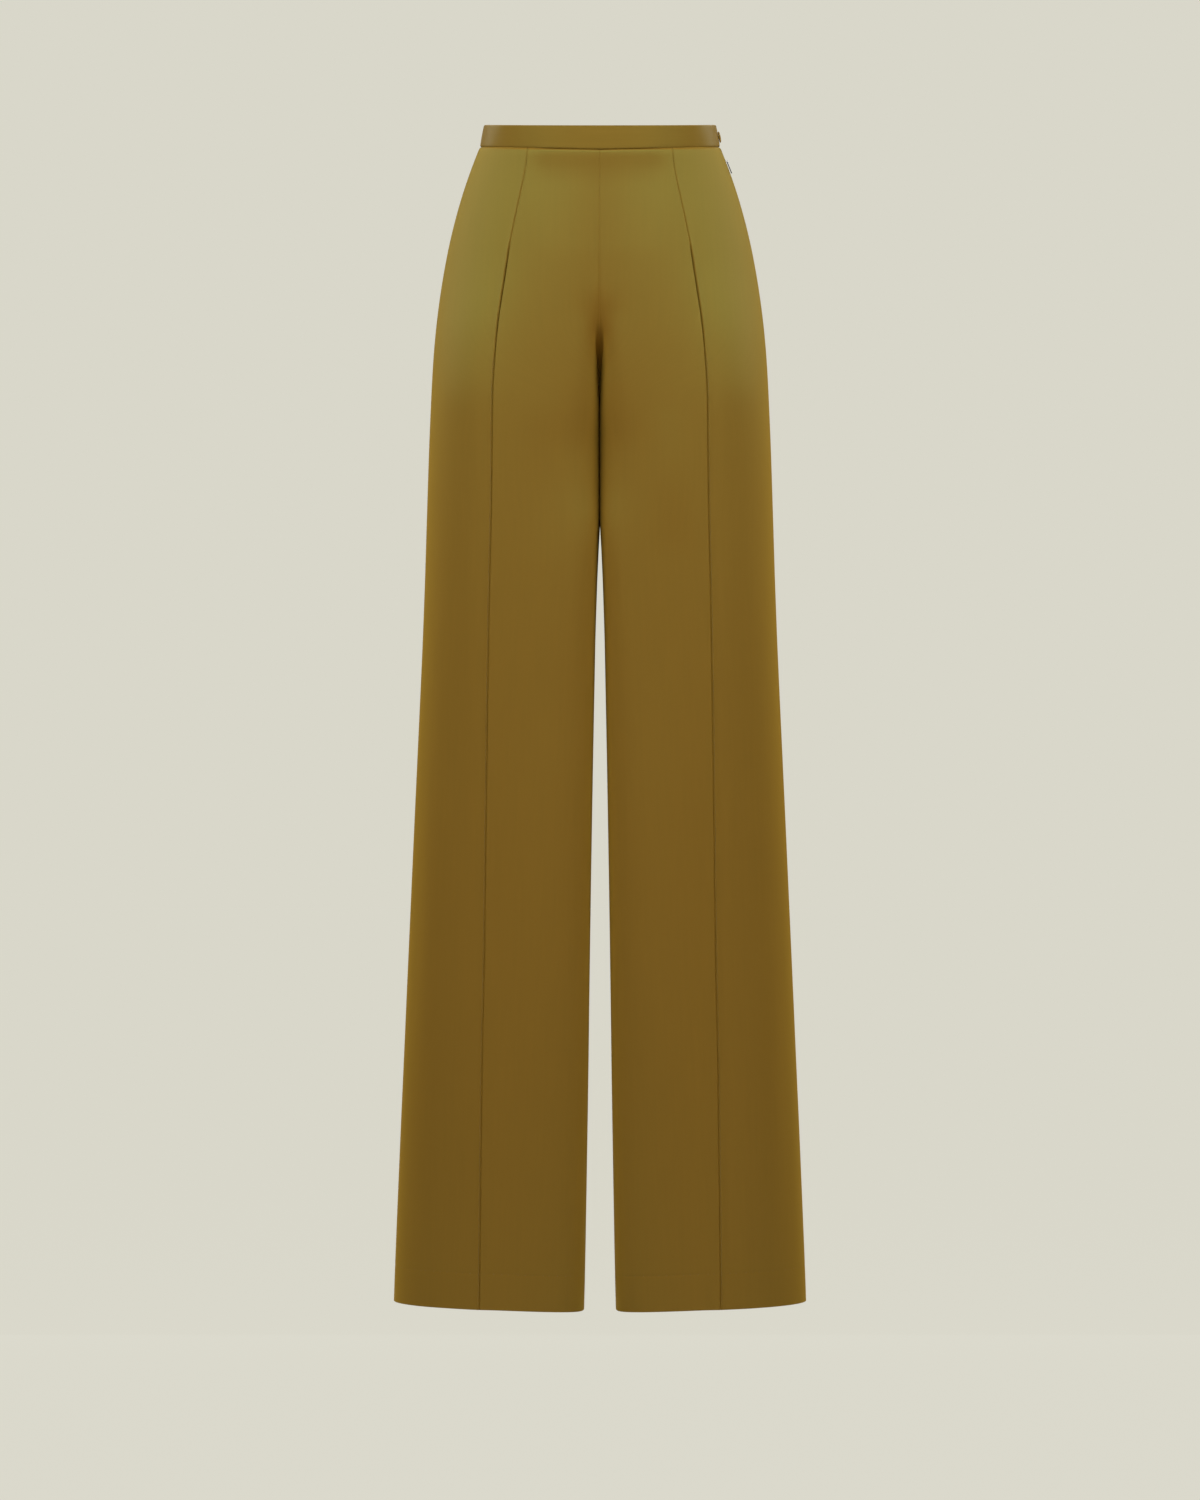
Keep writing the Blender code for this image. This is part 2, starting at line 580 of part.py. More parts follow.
def zip_hardware():
    frame = slope_frame(SLIDER_DROP)
    slider = box("zip_slider", (-3.7, -4.5, -2.4), (-1.65, 3.5, 2.4), frame, SILVER)
    outwards(slider)
    stem = box("slider_stem", (-2.0, -2.4, -0.35), (0.3, 2.4, 0.35), frame, SILVER)
    outwards(stem)
    outline = [(0.1, -1.7), (1.5, -1.7), (1.95, -1.25), (1.95, 1.25), (1.5, 1.7), (0.1, 1.7)]
    arch = prism("slider_arch", outline, -0.35, 0.35, frame, SILVER, axes=(0, 1, 2))
    eye = box("slider_eye", (0.33, -1.05, -1.0), (1.37, 1.05, 1.0), frame, SILVER)
    outwards(eye)
    combine(slider, stem, "UNION")
    combine(slider, arch, "UNION")
    combine(slider, eye, "DIFFERENCE")
    pivot_u, pivot_v = 0.85, 0.45
    hang = frame @ Matrix.Translation((pivot_u, pivot_v, 0))
    slot = [(2.3, -0.65), (-0.45, -0.65), (-0.45, -1.35), (2.6, -1.35), (6.5, -2.0), (9.2, -2.15)]
    slot += [(11.2, -1.75), (12.1, -0.7)]
    outline = slot + [(v, -w) for v, w in reversed(slot)]
    pull = prism("zip_pull", outline, -0.45, 0.45, hang, GUNMETAL, axes=(1, 2, 0))
    steps = 12
    turns = [2 * math.pi * k / steps for k in range(steps)]
    round_bar = [(PULL_BAR_RADIUS * math.cos(t), PULL_BAR_RADIUS * math.sin(t)) for t in turns]
    bar = prism("pull_bar", round_bar, -1.0, 1.0, hang, GUNMETAL, axes=(0, 1, 2))
    combine(pull, bar, "UNION")
    hinge = 0.001 * hang.translation
    pull.data.transform(Matrix.Translation(-hinge))
    pull.location = hinge
    across = (hang.to_3x3() @ Vector((0, 0, 1))).normalized()
    print("pull hinge at", [round(c, 6) for c in hinge], "axis", [round(c, 6) for c in across])


def main():
    for old in list(bpy.data.objects):
        bpy.data.objects.remove(old, do_unlink=True)
    panels()
    band = waistband()
    outwards(band)
    button(band)
    zip_tape()
    zip_hardware()


main()
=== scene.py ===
"""Looks of the wide-leg satin trousers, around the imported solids.

Thin cloth shells, sewing, zip, metal, light and camera. Cloth is worked out in millimetres, as in
the part's source, and put() writes metres. +X is the wearer's left, -Y the front and +Z up. drop
is the distance below the waistband's top edge at the side, across is a length along a level
section from the front or back line, and run is one along the section from its start.
"""

import math

import bpy
import numpy as np
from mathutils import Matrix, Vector


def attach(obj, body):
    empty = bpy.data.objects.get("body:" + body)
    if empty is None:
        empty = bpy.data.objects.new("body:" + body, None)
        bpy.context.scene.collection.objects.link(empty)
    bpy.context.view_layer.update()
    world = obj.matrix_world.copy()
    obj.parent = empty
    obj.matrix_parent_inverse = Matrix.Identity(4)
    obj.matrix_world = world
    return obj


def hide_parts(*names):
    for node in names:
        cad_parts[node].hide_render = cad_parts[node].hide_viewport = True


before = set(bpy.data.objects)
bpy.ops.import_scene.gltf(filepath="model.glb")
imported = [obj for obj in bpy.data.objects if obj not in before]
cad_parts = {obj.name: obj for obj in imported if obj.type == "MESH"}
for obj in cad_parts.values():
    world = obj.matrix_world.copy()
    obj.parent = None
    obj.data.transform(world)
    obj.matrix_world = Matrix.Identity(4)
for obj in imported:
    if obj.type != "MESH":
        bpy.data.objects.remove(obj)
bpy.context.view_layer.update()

MM = 0.001
TOP = 11.25
HEM_DROP = 1177.9
CROTCH_DROP = 272.0
BAND_HEIGHT = 21.4
BAND_FRONT_EXTRA = 1.9
BAND_WALL = 2.2
FRONT_DIP = 8.65
HEM_TILT = 3.35
HEM_FRONT_LIFT = 1.4
HEM_DEPTH = 35.5
BACK_DART_END = 150.0
PRESS_LIFT = 3.0
PRESS_REACH = 17.0
LEAN = 0.55
LEAN_DEPTH = 12.0
BUTTON_DROP = 12.2
LAP_GAP = 0.6
BODY_POWER = 2.18
OUTER_POWER = 2.2
# drop where the front starts to fall back to the crotch and the power of its curve, and the back
RISE = {"front": (130.0, 3.2), "back": (138.0, 2.4)}
# how the cloth itself is made
CLOTH = 0.75
HEM_CLOTH = 1.7
SEAM_ROLL = 0.3  # the edges of a sewn seam turn in with this radius
SEAM_HALF_GAP = 0.012
WAIST_SINK = 1.2  # the panels' top edge turns in under the band by this much
WAIST_OVERLAP = 0.02  # the panels begin this far above the band's lower edge
RISE_END = 262.0  # above this drop the two fronts, and the two backs, meet in one seam
WAIST_SINK_REACH = 1.4
HEM_STITCH_DENT = 0.16  # the blind stitches draw the cloth in by this much along their row
HEM_STITCH_REACH = 1.1
HEM_ROLL_SHARE = 0.8  # of SEAM_ROLL, at the hem's folded edge
GROOVE_SPREAD = 0.62
BACK_DART_DEPTH = 0.9
FOLD_AWAY = 1.35  # the small fold beside the front line lies this far out from it
FOLD_SPREAD = 0.75
HALO_AWAY = 6.0  # and a shallow trough this far out
HALO_SPREAD = 2.6
HALO_SHARE = 0.35

# (drop, distance from the centre line to the outer side), below the waist seam
SIDE = [
    (21.5, 120.0), (25.2, 121.4), (40.2, 127.5), (55.2, 132.9), (70.2, 137.8), (85.2, 142.2),
    (100.2, 146.2), (115.2, 149.8), (130.2, 153.0), (160.2, 158.3), (190.2, 162.5),
    (220.2, 165.6), (250.2, 167.6), (280.2, 169.0), (325.2, 170.9), (395.2, 173.1),
    (455.2, 174.9), (515.2, 177.1), (575.2, 179.8), (635.2, 182.6), (695.2, 185.4),
    (755.2, 188.1), (815.2, 190.8), (875.2, 193.5), (935.2, 196.1), (995.2, 198.8),
    (1055.2, 201.3), (1115.2, 203.8), (1155.2, 205.3), (1177.9, 206.1),
]
# (drop, half of the gap between the legs)
LEG_GAP = [
    (21.5, 0.012), (262.0, 0.012), (290.0, 0.1), (393.0, 0.12), (401.0, 0.5), (415.0, 1.2),
    (425.0, 1.75), (455.0, 2.9), (515.2, 4.6), (575.2, 5.75), (635.2, 6.9), (695.2, 7.93),
    (755.2, 8.93), (815.2, 9.83), (875.2, 10.65), (935.2, 11.4), (995.2, 12.3), (1055.2, 13.3),
    (1115.2, 14.35), (1155.2, 15.15), (1177.9, 15.8),
]
# (drop, distance of the front dart and stitched crease from the centre line)
FRONT_LINE = [
    (21.5, 71.8), (40.0, 73.0), (60.0, 77.0), (80.0, 81.3), (100.0, 85.3), (125.0, 90.2),
    (155.0, 94.2), (175.0, 97.2), (195.0, 100.1), (215.0, 102.1), (255.0, 105.0),
    (275.0, 106.0), (355.0, 106.6), (395.0, 107.2), (475.0, 109.1), (595.0, 111.0),
    (675.0, 112.0), (835.0, 114.0), (915.0, 115.9), (995.0, 117.0), (1075.0, 117.9),
    (1177.9, 119.0),
]
# (drop, distance of the back dart and fullest line of the back from the centre line)
BACK_LINE = [
    (21.5, 64.0), (60.0, 68.0), (150.0, 78.0), (272.0, 88.0), (600.0, 98.0), (1177.9, 112.0),
]
# (drop, depth of the body's front from the side line), and the back
FRONT_DEPTH = [
    (21.5, 91.0), (60.0, 95.0), (100.0, 98.5), (150.0, 101.5), (272.0, 103.0), (1177.9, 103.0),
]
BACK_DEPTH = [
    (21.5, 88.5), (60.0, 96.5), (100.0, 106.0), (150.0, 116.0), (200.0, 120.5), (272.0, 120.5),
    (1177.9, 120.5),
]
# (drop, depth of the leg's front crease from the side line), and the back
LEG_FRONT = [
    (21.5, 93.0), (150.0, 101.0), (230.0, 101.8), (393.0, 98.5), (600.0, 95.5), (800.0, 94.0),
    (1177.9, 93.0),
]
LEG_BACK = [
    (21.5, 95.0), (150.0, 115.0), (215.0, 120.5), (272.0, 120.0), (330.0, 117.5), (430.0, 112.5),
    (600.0, 105.0), (800.0, 99.0), (1177.9, 94.0),
]
# (drop, share of the leg's section, the rest is the body's)
LEG_SHARE = [(21.5, 0.0), (50.0, 0.0), (140.0, 0.3), (210.0, 0.75), (272.0, 1.0), (1177.9, 1.0)]
# (drop, where the side seam lies in front of the widest point)
SIDE_SEAM = [(21.5, -8.0), (250.0, -7.0), (1177.9, -4.0)]
# (drop, superellipse power of the leg's section from the inseam to the front crease), and the back
FRONT_POWER = [
    (21.5, 7.0), (200.0, 8.5), (245.0, 8.0), (275.0, 6.4), (320.0, 4.6), (375.0, 5.2),
    (425.0, 7.5), (600.0, 6.5), (1177.9, 5.0),
]
BACK_POWER = [(21.5, 4.0), (300.0, 4.2), (420.0, 4.0), (600.0, 3.6), (1177.9, 3.2)]
# (drop, depth in millimetres of the front line's groove): a dart seam, the mouth of the tuck,
# the tuck's shadowed fold, then a stitched crease; and the height of the fold beside it
GROOVE = [
    (21.5, 1.0), (112.0, 1.0), (121.0, 0.9), (129.0, 3.4), (205.0, 3.4), (232.0, 2.3),
    (300.0, 1.7), (700.0, 1.5), (1177.9, 1.4),
]
FOLD_BESIDE = [
    (21.5, 0.3), (112.0, 0.35), (126.0, 1.0), (215.0, 1.0), (260.0, 0.7), (1177.9, 0.6),
]


# ---------------------------------------------------------------- cloth form

STEP = 2.0
DROPS = np.arange(21.5, HEM_DROP + STEP, STEP)


def ease(low, high, at):
    t = np.clip((np.asarray(at, float) - low) / (high - low), 0.0, 1.0)
    return t * t * (3 - 2 * t)


def track(table, blur=12.0):
    """A table's second column at every one of DROPS, evened out so that the satin has no bands."""
    xs, ys = np.array(table, float).T
    values = np.interp(DROPS, xs, ys)
    reach = int(3 * blur / STEP)
    weights = np.exp(-0.5 * (np.arange(-reach, reach + 1) * STEP / blur) ** 2)
    before = 2 * values[0] - values[1 : reach + 1][::-1]
    after = 2 * values[-1] - values[-reach - 1 : -1][::-1]
    padded = np.concatenate([before, values, after])
    return np.convolve(padded, weights / weights.sum(), "valid")


TRACKS = {
    "side": track(SIDE), "gap": track(LEG_GAP, 4.0), "front_line": track(FRONT_LINE, 10.0),
    "back_line": track(BACK_LINE, 20.0), "front_body": track(FRONT_DEPTH, 20.0),
    "back_body": track(BACK_DEPTH, 20.0), "front_leg": track(LEG_FRONT, 24.0),
    "back_leg": track(LEG_BACK, 24.0), "share": track(LEG_SHARE, 16.0),
    "seam": track(SIDE_SEAM, 20.0), "front_power": track(FRONT_POWER, 14.0),
    "back_power": track(BACK_POWER, 20.0), "groove": track(GROOVE, 2.0),
    "fold": track(FOLD_BESIDE, 4.0),
}


def read(name, drop):
    return float(np.interp(drop, DROPS, TRACKS[name]))


def height(x, y, drop):
    """z of the cloth: the waist dips at the front and the hem tilts, as the photograph shows."""
    soft = 20.0
    most = math.hypot(90, soft) + 90 - soft
    dip = (np.hypot(y, soft) - y - soft) / most
    extra = np.clip(1 - np.abs(x) / 118, 0, 1) ** 1.2
    z = TOP - drop - FRONT_DIP * dip * (1 - ease(22, 270, drop))
    z = z - BAND_FRONT_EXTRA * extra * ease(0, 18, drop) * (1 - ease(24, 110, drop))
    middle = np.interp(drop, DROPS, TRACKS["front_line"])
    tilt = HEM_TILT * (middle - np.abs(x)) / 94 + HEM_FRONT_LIFT * y / 96
    return z - tilt * ease(850, HEM_DROP, drop)


def lengths(points):
    return np.concatenate([[0], np.cumsum(np.hypot(*np.diff(points, axis=0).T))])


def at_lengths(points, where):
    run = lengths(points)
    return np.column_stack([np.interp(where, run, points[:, 0]), np.interp(where, run, points[:, 1])])


def evenly(points, count=240):
    return at_lengths(points, np.linspace(0, lengths(points)[-1], count + 1))


def quarter(power, start, end, count=300):
    angle = np.linspace(start, end, count + 1)
    return np.cos(angle) ** (2 / power), np.sin(angle) ** (2 / power)


def section_half(drop, which):
    """A quarter of the level section, front or back: (centre to line, line to side)."""
    rise_start, rise_power = RISE[which]
    side, gap, share = read("side", drop), read("gap", drop), read("share", drop)
    line, power = read(f"{which}_line", drop), read(f"{which}_power", drop)
    body, leg = read(f"{which}_body", drop), read(f"{which}_leg", drop)
    turn = math.acos((line / side) ** (BODY_POWER / 2))
    cos, sin = quarter(BODY_POWER, math.pi / 2, turn)
    body_in = evenly(np.column_stack([side * cos, body * sin]))
    cos, sin = quarter(BODY_POWER, turn, 0)
    body_out = evenly(np.column_stack([side * cos, body * sin]))
    recess = min(max((drop - rise_start) / (CROTCH_DROP - rise_start), 0.0), 1.0) ** rise_power
    start = 1 - (1 - (1 - recess) ** power) ** (1 / power)
    cos, sin = quarter(power, math.acos((1 - start) ** (power / 2)), math.pi / 2)
    reach = np.sqrt(np.clip(((1 - cos) ** 2 - start**2) / max(1 - start**2, 1e-9), 0, 1))
    if recess <= 0:
        reach, sin = np.linspace(0, 1, 301), np.ones(301)
    leg_in = evenly(np.column_stack([line * reach, leg * sin]))
    cos, sin = quarter(OUTER_POWER, math.pi / 2, 0)
    leg_out = evenly(np.column_stack([line + (side - line) * cos, leg * sin]))
    inner = (1 - share) * body_in + share * leg_in
    outer = (1 - share) * body_out + share * leg_out
    inner[:, 0] = gap + inner[:, 0] * (line - gap) / line
    return inner, outer


def half_section(drop):
    """The +X half of a section as one line, and its lengths at crease, side seam and back line."""
    front_in, front_out = section_half(drop, "front")
    back_in, back_out = section_half(drop, "back")
    front_in[:, 1] *= -1
    front_out[:, 1] *= -1
    whole = np.concatenate([front_in, front_out[1:], back_out[::-1][1:], back_in[::-1][1:]])
    run = lengths(whole)
    a, b, c = len(front_in) - 1, len(front_in) + len(front_out) - 2, len(back_out) - 1
    seam = float(np.interp(read("seam", drop), whole[a : b + 1, 1], run[a : b + 1]))
    return whole, (run[a], seam, run[b + c], run[-1])


# places of the first columns beside a seam and beside a front or back line, and the columns
# from centre to front line, to side seam, to back line and to the centre back
NEAR_SEAM = [0.0, 0.15, 0.4, 0.8, 1.6, 3.2]
NEAR_LINE = [0.0, 0.25, 0.5, 0.8, 1.2, 1.8, 3.2]
COLUMNS = (24, 20, 24, 22)


def spread(start, end, near_start, near_end, count):
    """Places between two lengths: close together at both ends, even in between."""
    first, last = start + np.array(near_start), end - np.array(near_end)[::-1]
    return np.concatenate([first, np.linspace(first[-1], last[0], count + 1)[1:-1], last])


def rows_of(top, spacing=5.0):
    near = np.array(NEAR_SEAM)
    fold = HEM_DROP - HEM_DEPTH
    main = np.arange(top + 8, HEM_DROP - 8, spacing)
    crotch = np.arange(224.0, 300.0, 2.5)
    stitch = fold + np.array([-3.0, -1.6, -0.8, 0.0, 0.8, 1.6, 3.0])
    rows = np.concatenate([top + near, main, crotch, stitch, HEM_DROP - near])
    rows = np.unique(np.round(rows, 3))
    keep = [rows[0]]
    fixed = set(np.round(np.concatenate([top + near, stitch, HEM_DROP - near]), 3))
    for row in rows[1:]:
        if row in fixed or row - keep[-1] > 1.2:
            keep.append(row)
    return np.array(keep)


def half_grid(rows):
    """Smooth +X half: points and outward normals per row and column, and each point's lengths."""
    points, runs, marks = [], [], []
    for drop in rows:
        whole, (crease, seam, line, end) = half_section(drop)
        where = np.concatenate([
            spread(0, crease, NEAR_SEAM, NEAR_LINE, COLUMNS[0]),
            spread(crease, seam, NEAR_LINE, NEAR_SEAM, COLUMNS[1])[1:],
            spread(seam, line, NEAR_SEAM, NEAR_LINE, COLUMNS[2])[1:],
            spread(line, end, NEAR_LINE, NEAR_SEAM, COLUMNS[3])[1:],
        ])
        flat = at_lengths(whole, where)
        points.append(np.column_stack([flat, height(flat[:, 0], flat[:, 1], drop)]))
        runs.append(where)
        marks.append((crease, seam, line, end))
    points, runs, marks = np.array(points), np.array(runs), np.array(marks)
    across = np.gradient(points, axis=1)
    ring = (points[:, 1] - points[:, -2]) / 2
    closed = rows >= CROTCH_DROP
    across[closed, 0] = ring[closed]
    across[closed, -1] = ring[closed]
    normals = np.cross(np.gradient(points, axis=0), across)
    normals /= np.linalg.norm(normals, axis=2, keepdims=True)
    normals[rows < RISE["front"][0], 0, 0] = 0
    normals[rows < RISE["back"][0], -1, 0] = 0
    normals[closed, 0, 1] = 0
    normals[closed, -1, 1] = 0
    normals /= np.linalg.norm(normals, axis=2, keepdims=True)
    return points, normals, runs, marks


# (drop, how far the front falls back along its centre seam), with the half width of that hollow
HOLLOW = [
    (21.5, 0.0), (40.0, 0.8), (75.0, 2.9), (115.0, 5.2), (150.0, 6.6), (190.0, 6.4), (235.0, 2.4),
    (262.0, 0.6), (290.0, 0.0), (1177.9, 0.0),
]
HOLLOW_WIDTH = 25.0
# (drop, how far the cloth between the front darts draws in below the band)
DRAWN_IN = [
    (21.5, 0.0), (26.0, 0.3), (40.0, 1.9), (52.0, 2.2), (75.0, 1.5), (125.0, 0.0), (1177.9, 0.0),
]
# (drop, depth of the groove along the front's centre seam)
CENTRE_GROOVE = [
    (21.5, 0.4), (125.0, 0.8), (215.0, 1.5), (262.0, 1.3), (285.0, 0.0), (1177.9, 0.0),
]
CENTRE_GROOVE_WIDTH = 1.9

# Soft folds, listed as (name, across from the crease or back line, drift of that over its
# length, first drop, last drop, depth, half width). A negative depth is a ridge.
FOLDS = [
    ("front_left", -64, 8, 520, 1240, -4.5, 25), ("front_left", -21, 4, 640, 1290, 2.6, 13),
    ("front_left", -40, 8, 285, 430, -2.2, 17), ("front_left", -78, -3, 330, 520, 1.4, 12),
    ("front_left", 34, 6, 430, 900, 1.3, 15), ("front_left", 60, -6, 760, 1230, -1.7, 18),
    ("front_left", 24, 3, 860, 1270, -1.6, 11), ("front_right", -58, 6, 560, 1260, -3.6, 27),
    ("front_right", -19, 5, 700, 1250, 2.0, 12), ("front_right", -48, -6, 290, 440, 1.5, 15),
    ("front_right", -82, 4, 360, 600, -1.2, 13), ("front_right", 40, -6, 380, 760, 1.2, 16),
    ("front_right", 28, 8, 880, 1240, 1.7, 13), ("front_right", 66, -4, 600, 1010, -1.3, 15),
    ("back_left", -30, 12, 270, 640, 2.6, 18), ("back_left", 26, -6, 300, 760, 2.0, 15),
    ("back_left", 4, 5, 520, 1250, -3.4, 22), ("back_left", 52, 4, 620, 1230, 1.9, 16),
    ("back_left", -58, -5, 640, 1210, 2.1, 17), ("back_right", -24, 9, 262, 560, 2.4, 16),
    ("back_right", 34, -8, 330, 820, 2.2, 18), ("back_right", 2, -4, 470, 1230, -3.8, 23),
    ("back_right", -52, 6, 560, 1240, 2.0, 15), ("back_right", 60, -3, 700, 1200, 1.6, 14),
]


def folds(name, across, rows):
    """How far the soft folds move each point of a panel out."""
    out = np.zeros_like(across)
    for piece, centre, drift, first, last, depth, width in FOLDS:
        if piece != name:
            continue
        share = np.clip((rows - first) / (last - first), 0, 1)
        fade = np.sin(np.pi * share) ** 1.3
        middle = centre + drift * share
        out -= depth * fade[:, None] * np.exp(-(((across - middle[:, None]) / width) ** 2))
    return out


def rolled(distance):
    """How far a sewn edge turns in at a distance from the seam."""
    left = np.clip(SEAM_ROLL - distance, 0, SEAM_ROLL)
    return SEAM_ROLL - np.sqrt(np.clip(SEAM_ROLL**2 - left**2, 0, None))


def lean(points, drops):
    """The touching inner thighs lean on each other, as in the solids, and so do the seams above."""
    amount = 1 - ease(393, 520, drops)
    near = np.clip(1 - np.abs(points[..., 0]) / 60, 0, 1) ** 2
    points[..., 0] += LEAN * np.tanh(points[..., 1] / LEAN_DEPTH) * amount * near
    return points


def put(name, points, faces, material, uv=None, smooth=True):
    """A new mesh object from points in millimetres; uv is one (u, v) in metres for each point."""
    mesh = bpy.data.meshes.new(name)
    mesh.from_pydata((np.asarray(points, float) * MM).tolist(), [], faces)
    mesh.update()
    if uv is not None:
        layer = mesh.uv_layers.new(name="weave")
        corners = np.zeros(len(mesh.loops), np.int32)
        mesh.loops.foreach_get("vertex_index", corners)
        layer.data.foreach_set("uv", np.asarray(uv, np.float32)[corners].reshape(-1))
    mesh.materials.append(material)
    if smooth:
        mesh.polygons.foreach_set("use_smooth", [True] * len(mesh.polygons))
    made = bpy.data.objects.new(name, mesh)
    bpy.context.scene.collection.objects.link(made)
    return made


def wall_faces(rows, columns, flip=False):
    """Faces of a closed wall: an outer grid, then an inner grid of the same shape, and the rim."""
    index = np.arange(rows * columns).reshape(rows, columns)
    a, b, c, d = index[:-1, :-1], index[1:, :-1], index[1:, 1:], index[:-1, 1:]
    far = rows * columns
    outer = np.stack([a, b, c, d], -1).reshape(-1, 4)
    inner = np.stack([a, d, c, b], -1).reshape(-1, 4) + far
    edge = np.concatenate([index[0], index[1:, -1], index[-1, -2::-1], index[-2:0:-1, 0]])
    after = np.roll(edge, -1)
    rim = np.stack([edge, after, after + far, edge + far], -1)
    faces = np.concatenate([outer, inner, rim])
    return (faces[:, ::-1] if flip else faces).tolist()


def half_area(made):
    """Half of a closed shell's surface, in square metres: the cut of what shows."""
    areas = np.zeros(len(made.data.polygons))
    made.data.polygons.foreach_get("area", areas)
    return float(areas.sum() / 2)


def along(table, rows):
    """A table's second column at each row, as one column of numbers."""
    return np.interp(rows, *np.array(table).T)[:, None]


def front_form(run, across, level, rows):
    """How far a front panel's larger form lies out from its section."""
    out = -along(HOLLOW, rows) * np.exp(-((level / HOLLOW_WIDTH) ** 2))
    out -= along(DRAWN_IN, rows) * (1 - ease(52, 78, level))
    out -= along(CENTRE_GROOVE, rows) * np.exp(-((run / CENTRE_GROOVE_WIDTH) ** 2))
    return out + PRESS_LIFT * ease(140, 520, rows)[:, None] * np.exp(-np.abs(across) / PRESS_REACH)


def line_relief(across, groove, beside):
    """The groove along a front or back line, with the small fold and the trough beside it."""
    skin = beside * np.exp(-(((across - FOLD_AWAY) / FOLD_SPREAD) ** 2))
    skin = skin * (1 - np.exp(-((across / 0.5) ** 2))) - groove
    return skin - HALO_SHARE * beside * np.exp(-(((across - HALO_AWAY) / HALO_SPREAD) ** 2))


def hem_dent(run, rows):
    """The uneven row where the blind stitches draw the cloth in."""
    wobble = 1 + 0.5 * np.sin(run / 3.9 + rows[:, None] * 0.3) * np.sin(run / 1.7)
    from_row = (rows - HEM_DROP + HEM_DEPTH) / HEM_STITCH_REACH
    return HEM_STITCH_DENT * wobble * np.exp(-(from_row**2))[:, None]


def panel_grids(which, name, part, form):
    """The outer and inner points of one panel on the +X side, and its lengths along the rows."""
    rows, points, normals, runs, marks = form
    crease, seam, line, end = (marks[:, i : i + 1] for i in range(4))
    run, base, normal = runs[:, part], points[:, part], normals[:, part]
    front = which == "front"
    across = run - crease if front else line - run
    edge = np.minimum(run, seam - run) if front else np.minimum(run - seam, end - run)
    out = folds(name, across, rows)
    if front:
        out += front_form(run, across, base[..., 0], rows)
        groove = np.interp(rows, DROPS, TRACKS["groove"])[:, None]
        beside = np.interp(rows, DROPS, TRACKS["fold"])[:, None]
    else:
        fading = 1 - ease(BACK_DART_END - 25, BACK_DART_END, rows)
        groove = BACK_DART_DEPTH * fading[:, None]
        beside = 0.3 * groove
    groove = groove * np.exp(-np.abs(across / GROOVE_SPREAD) ** 2)
    from_top = rows - rows[0]
    tucked = (WAIST_SINK * np.exp(-((from_top / WAIST_SINK_REACH) ** 2)))[:, None]
    hemmed = HEM_ROLL_SHARE * rolled(HEM_DROP - rows)[:, None]
    turned_in = rolled(edge) + rolled(from_top)[:, None] + tucked + hemmed
    skin = line_relief(across, groove, beside) - hem_dent(run, rows) - turned_in
    double = rows > HEM_DROP - HEM_DEPTH + 1.0
    thick = np.where(double, HEM_CLOTH, CLOTH)[:, None] - hemmed + 1.1 * groove + 0.6 * tucked
    outer = base + normal * (out + skin)[..., None]
    inner = base + normal * (out - thick)[..., None]
    for grid in (outer, inner):
        grid[..., 0] = np.maximum(grid[..., 0], SEAM_HALF_GAP)
        grid[rows < RISE_END, 0 if front else -1, 0] = SEAM_HALF_GAP
    return outer, inner, run


def panels(satin):
    """The four panels, each a closed shell of cloth with its seams, line and hem."""
    rows = rows_of(BAND_HEIGHT - WAIST_OVERLAP)
    points, normals, runs, marks = half_grid(rows)
    seam_column = int(np.argmin(np.abs(runs[0] - marks[0, 1])))
    parts = {"front": slice(0, seam_column + 1), "back": slice(seam_column, None)}
    made, grids = {}, []
    for side, word in ((1, "left"), (-1, "right")):
        for which, part in parts.items():
            name = f"{which}_{word}"
            form = (rows, points, normals, runs, marks)
            outer, inner, run = panel_grids(which, name, part, form)
            for grid in (outer, inner):
                grid[..., 0] *= side
                lean(grid, rows[:, None])
            both = np.concatenate([outer.reshape(-1, 3), inner.reshape(-1, 3)])
            uv = np.column_stack([run.reshape(-1), np.repeat(rows, run.shape[1])]) * MM
            faces = wall_faces(*run.shape, flip=side < 0)
            made[name] = put(f"{name}_cloth", both, faces, satin, np.concatenate([uv, uv]))
            grids.append((side, which, outer, normals[:, part], rows))
    return made, grids


# ---------------------------------------------------------------- waistband

BAND_SIDE = (116.0, 120.0)  # distance to the side at the band's top and bottom
BAND_FRONT = (89.0, 91.0)
BAND_BACK = (86.0, 88.5)
BAND_TIP = (0.4, 0.8)  # the worn band leans back at the middle of the front and forward beside it
# along the band from the side seam: the lapped end, where the underlap starts to step in and
# ends its step, and the underlap's end past the seam
LAP_END, SHIFT_START, SHIFT_END, UNDERLAP_END = 9.0, 10.0, 26.0, 17.0
BAND_BOTTOM = BAND_HEIGHT - 0.05
# (out, drop) round the folded strip, starting at the top fold
BAND_PROFILE = [
    (-1.1, 0.0), (-0.62, 0.1), (-0.28, 0.34), (-0.08, 0.7), (0.0, 1.2), (0.05, 3.0),
    (0.16, 6.5), (0.22, 10.7), (0.16, 15.0), (0.05, 18.4), (-0.05, 20.2), (-0.3, 21.0),
    (-0.62, BAND_BOTTOM), (-1.5, BAND_BOTTOM), (-2.0, 20.9), (-2.2, 20.0), (-2.2, 10.7),
    (-2.2, 1.2), (-2.05, 0.6), (-1.7, 0.15),
]


